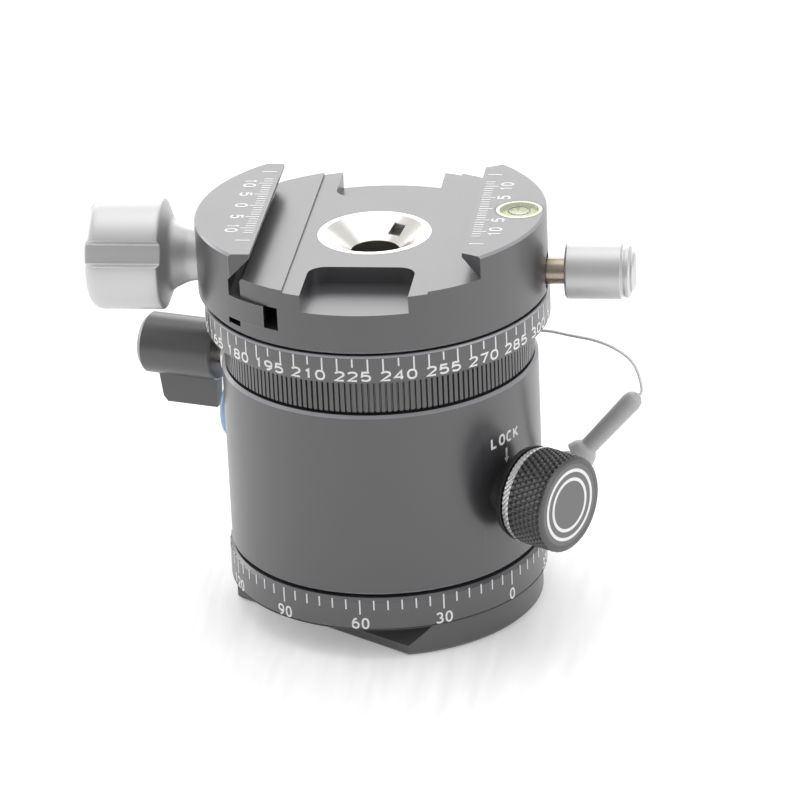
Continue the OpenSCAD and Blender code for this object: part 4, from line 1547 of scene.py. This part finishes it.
class Dressing:
    """Gives each CAD node its finish, and rounds the ones that show.

    SOFT holds the finish and the rounding in millimetres of each node that shows,
    PLAIN the finish of others, and BY_SLOT that of all the rest.
    """

    SOFT: dict[str, tuple[Finish, float]] = {
        "base_plate": (BLACK_FOOT, 0.12),
        "base_dial": (BLACK_FOOT, 0.06),
        "housing": (BLACK_TURNED, 0.1),
        "clamp_disc": (BLACK, 0.2),
        "clamp_jaw": (BLACK, 0.2),
        "wing_knob": (BLACK_CAST, 0.2),
        "wing_cap": (BLACK_CAST, 0.1),
        "lever_hub": (BLACK, 0.1),
        "lever_arm": (RUBBERY, 0.1),
        "knob_cap": (SILVER, 0.1),
        "lock_knob": (SILVER, 0.1),
        "lock_cap": (SILVER, 0.1),
        "centre_bushing": (STEEL, 0.1),
        "drag_cap": (BLUE, 0.15),
        "index_face": (BLACK_FACE, 0.04),
        "tether_anchor": (STEEL, 0.08),
    }
    PLAIN: dict[str, Finish] = {
        "index_inlay": SILVER_RING,
        "index_ring": BLACK_TURNED,
        "index_barrel": SHADED_COLLAR,
        "clamp_knob": SILVER,
        "index_knob": SHADED_KNURL,
        "index_band": SILVER_RING,
        "base_hub": GREY_HUB,
        "index_drum": GREY_HUB,
        "level_cup": LEVEL_RIM,
        "level_fluid": FLUID,
        "level_lens": GLASS,
        "lock_screw": SHAFT,
        "jaw_washer": STEEL,
        "tether_wire": WIRE,
    }
    BY_SLOT: dict[str, Finish] = {
        "body_black": BLACK,
        "face_black": BLACK_FACE,
        "hub_grey": GREY_HUB,
        "knob_silver": SILVER,
        "steel": STEEL,
        "brass": BRASS,
        "slip_plastic": SLIP,
        "cap_blue": BLUE,
        "level_green": FLUID,
        "level_glass": GLASS,
    }

    @staticmethod
    def axes(node: str) -> list[Matrix]:
        """Find the axes that a node's surfaces are turned about.

        Args:
            node: name of the CAD node.

        Returns:
            Their frames.
        """
        index, lever, wing, drag = (
            axis.matrix() for axis in (INDEX_AXIS, LEVER_AXIS, WING_AXIS, DRAG_AXIS))
        arm = lever @ Matrix.Translation(metres(0, 0, LEVER_ARM_ROOT))
        arm = arm @ Matrix.Rotation(math.radians(-LEVER_ARM_TILT), 4, "Y")
        return {
            "index_face": [index],
            "clamp_jaw": [Matrix.Translation(metres(JAW_SHIFT, 0, 0)), UPRIGHT],
            "lock_knob": [LOCK_AXIS.matrix()],
            "lock_cap": [LOCK_AXIS.matrix()],
            "knob_cap": [CLAMP_KNOB_AXIS.matrix()],
            "wing_knob": [wing],
            "wing_cap": [wing],
            "drag_cap": [drag],
            "lever_hub": [lever],
            "lever_arm": [arm, lever],
            "tether_anchor": [ANCHOR_AXIS.matrix()],
            "housing": [UPRIGHT, index, lever, wing, drag],
        }.get(node, [UPRIGHT])

    def build(self) -> None:
        """Round the visible nodes and give the rest their materials."""
        bodies = {n: b for b, ns in frame["record"]["behaviour"]["bodies"].items() for n in ns}
        slots = {s["node"]: s["material_slot"] for s in frame["record"]["subparts"]}
        for node, place in frame["nodes"].items():
            finish = self.PLAIN.get(node) or self.BY_SLOT[slots[node]]
            if node in self.SOFT:
                finish = self.SOFT[node][0]
            place.data.materials.clear()
            place.data.materials.append(Palette.material(finish))
        for node, (finish, width) in self.SOFT.items():
            data = softened(node, width)
            true_shading(data, self.axes(node))
            Piece(node + "_dressed", bodies[node], slots[node], finish).adopt(data, (node,))


# --------------------------------------------------------------------------
# studio
# --------------------------------------------------------------------------


@dataclass(frozen=True)
class Lamp:
    """A soft box that is turned to the head; lengths in metres."""

    name: str
    place: Point
    size: Flat
    watts: float
    aim: Point = (0.0, 0.0, 0.05)

    def build(self) -> None:
        """Place the lamp."""
        data = bpy.data.lights.new(self.name, "AREA")
        data.shape = "RECTANGLE"
        data.size, data.size_y = self.size
        data.energy = self.watts
        light = bpy.data.objects.new(self.name, data)
        light.location = self.place
        toward = Vector(self.aim) - Vector(self.place)
        light.rotation_euler = toward.to_track_quat("-Z", "Y").to_euler()
        bpy.context.scene.collection.objects.link(light)


@dataclass(frozen=True)
class Studio:
    """White floor, graded surroundings and four soft boxes; lengths in metres.

    The floor runs from its front to its back and then bends upwards. The room is
    dim in front and bright behind, above and to the left.
    """

    half_width: float = 3.0
    front: float = -1.2
    back: float = 1.2
    bend: float = 0.8
    sunk: float = 0.00002
    rows: int = 24
    cloth_scale: float = 420.0
    cloth_stretch: Point = (1.0, 0.09, 1.0)
    cloth_turn: float = -28.0
    cloth_tones: Flat = (0.84, 0.97)
    glow: float = 0.26
    bright_side: Point = (-0.45, 0.75, 0.48)
    grade: Flat = (-0.7, 0.75)
    strengths: Flat = (0.38, 0.95)
    lamps: tuple[Lamp, ...] = (
        Lamp("back_box", (-0.13, 0.98, 0.50), (1.1, 0.5), 3.9),
        Lamp("top_box", (0.0, 0.1, 0.80), (0.8, 0.6), 1.6),
        Lamp("left_box", (-0.85, 0.42, 0.16), (0.5, 0.6), 2.6),
        Lamp("right_box", (0.80, -0.30, 0.22), (0.5, 0.6), 1.6),
    )

    def _floor(self) -> None:
        """Build the floor that bends upwards behind the head."""
        mesh = bmesh.new()
        rows = []
        for step in range(self.rows + 1):
            t = step / self.rows
            if t < 0.5:
                y, z = self.front + t * 2 * (self.back - self.front), 0.0
            else:
                turn = (t - 0.5) * 2 * math.pi / 2
                y, z = self.back + self.bend * math.sin(turn), self.bend * (1 - math.cos(turn))
            rows.append([mesh.verts.new((x, y, z - self.sunk))
                         for x in (-self.half_width, self.half_width)])
        for one, two in zip(rows, rows[1:]):
            mesh.faces.new((one[0], one[1], two[1], two[0]))
        data = bpy.data.meshes.new("floor")
        mesh.to_mesh(data)
        mesh.free()
        data.materials.append(self._cloth())
        floor = bpy.data.objects.new("floor", data)
        bpy.context.scene.collection.objects.link(floor)

    def _cloth(self) -> bpy.types.Material:
        """Make the pale cloth, which shows whiter than it lights the head.

        Returns:
            The floor's material.
        """
        cloth = bpy.data.materials.new("cloth_floor")
        cloth.use_nodes = True
        graph = Graph(cloth.node_tree)
        shader = cloth.node_tree.nodes["Principled BSDF"]
        shader.inputs["Roughness"].default_value = 0.9
        shader.inputs["Specular IOR Level"].default_value = 0.1
        shader.inputs["Emission Color"].default_value = (1.0, 1.0, 1.0, 1.0)
        drawn = graph.add("ShaderNodeMapping", vector_type="POINT")
        drawn.inputs["Scale"].default_value = self.cloth_stretch
        drawn.inputs["Rotation"].default_value = (0.0, 0.0, math.radians(self.cloth_turn))
        coords = graph.add("ShaderNodeTexCoord")
        graph.link(coords.outputs["Object"], drawn.inputs["Vector"])
        noise = graph.noise(drawn.outputs[0], self.cloth_scale, 3.0)
        level = graph.ranged(noise, (0.3, 0.7), self.cloth_tones)
        tone = graph.add("ShaderNodeCombineColor")
        for socket in tone.inputs:
            graph.link(level, socket)
        graph.link(tone.outputs[0], shader.inputs["Base Color"])
        rays = graph.add("ShaderNodeLightPath").outputs
        seen = graph.math("MAXIMUM", rays["Is Camera Ray"], rays["Is Glossy Ray"])
        seen = graph.math("MAXIMUM", seen, rays["Is Transmission Ray"])
        strength = graph.math("MULTIPLY", seen, self.glow)
        graph.link(strength, shader.inputs["Emission Strength"])
        return cloth

    def _surroundings(self) -> None:
        """Light the room: bright behind, above and to the left, darker in front."""
        world = bpy.data.worlds.new("studio")
        world.use_nodes = True
        graph = Graph(world.node_tree)
        toward = graph.add("ShaderNodeVectorMath", operation="DOT_PRODUCT")
        graph.link(graph.add("ShaderNodeTexCoord").outputs["Generated"], toward.inputs[0])
        toward.inputs[1].default_value = Vector(self.bright_side).normalized()
        level = graph.ranged(toward.outputs["Value"], self.grade, self.strengths,
                             interpolation_type="SMOOTHSTEP")
        background = world.node_tree.nodes["Background"]
        background.inputs["Color"].default_value = (1.0, 1.0, 1.0, 1.0)
        graph.link(level, background.inputs["Strength"])
        bpy.context.scene.world = world

    def build(self) -> None:
        """Create the floor, the world and the lights."""
        self._floor()
        self._surroundings()
        for lamp in self.lamps:
            lamp.build()
        bpy.context.scene.view_settings.view_transform = "Standard"


def main() -> None:
    """Build the scene in its order."""
    logging.basicConfig(level=logging.INFO)
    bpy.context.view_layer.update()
    Shot().build()
    for part in (Tether(), Dressing(), IndexKnob(), GripRing(), ClampKnob(), *MARKINGS,
                 Level(), Studio()):
        part.build()
    bpy.context.view_layer.update()


if __name__ == "__main__":
    main()
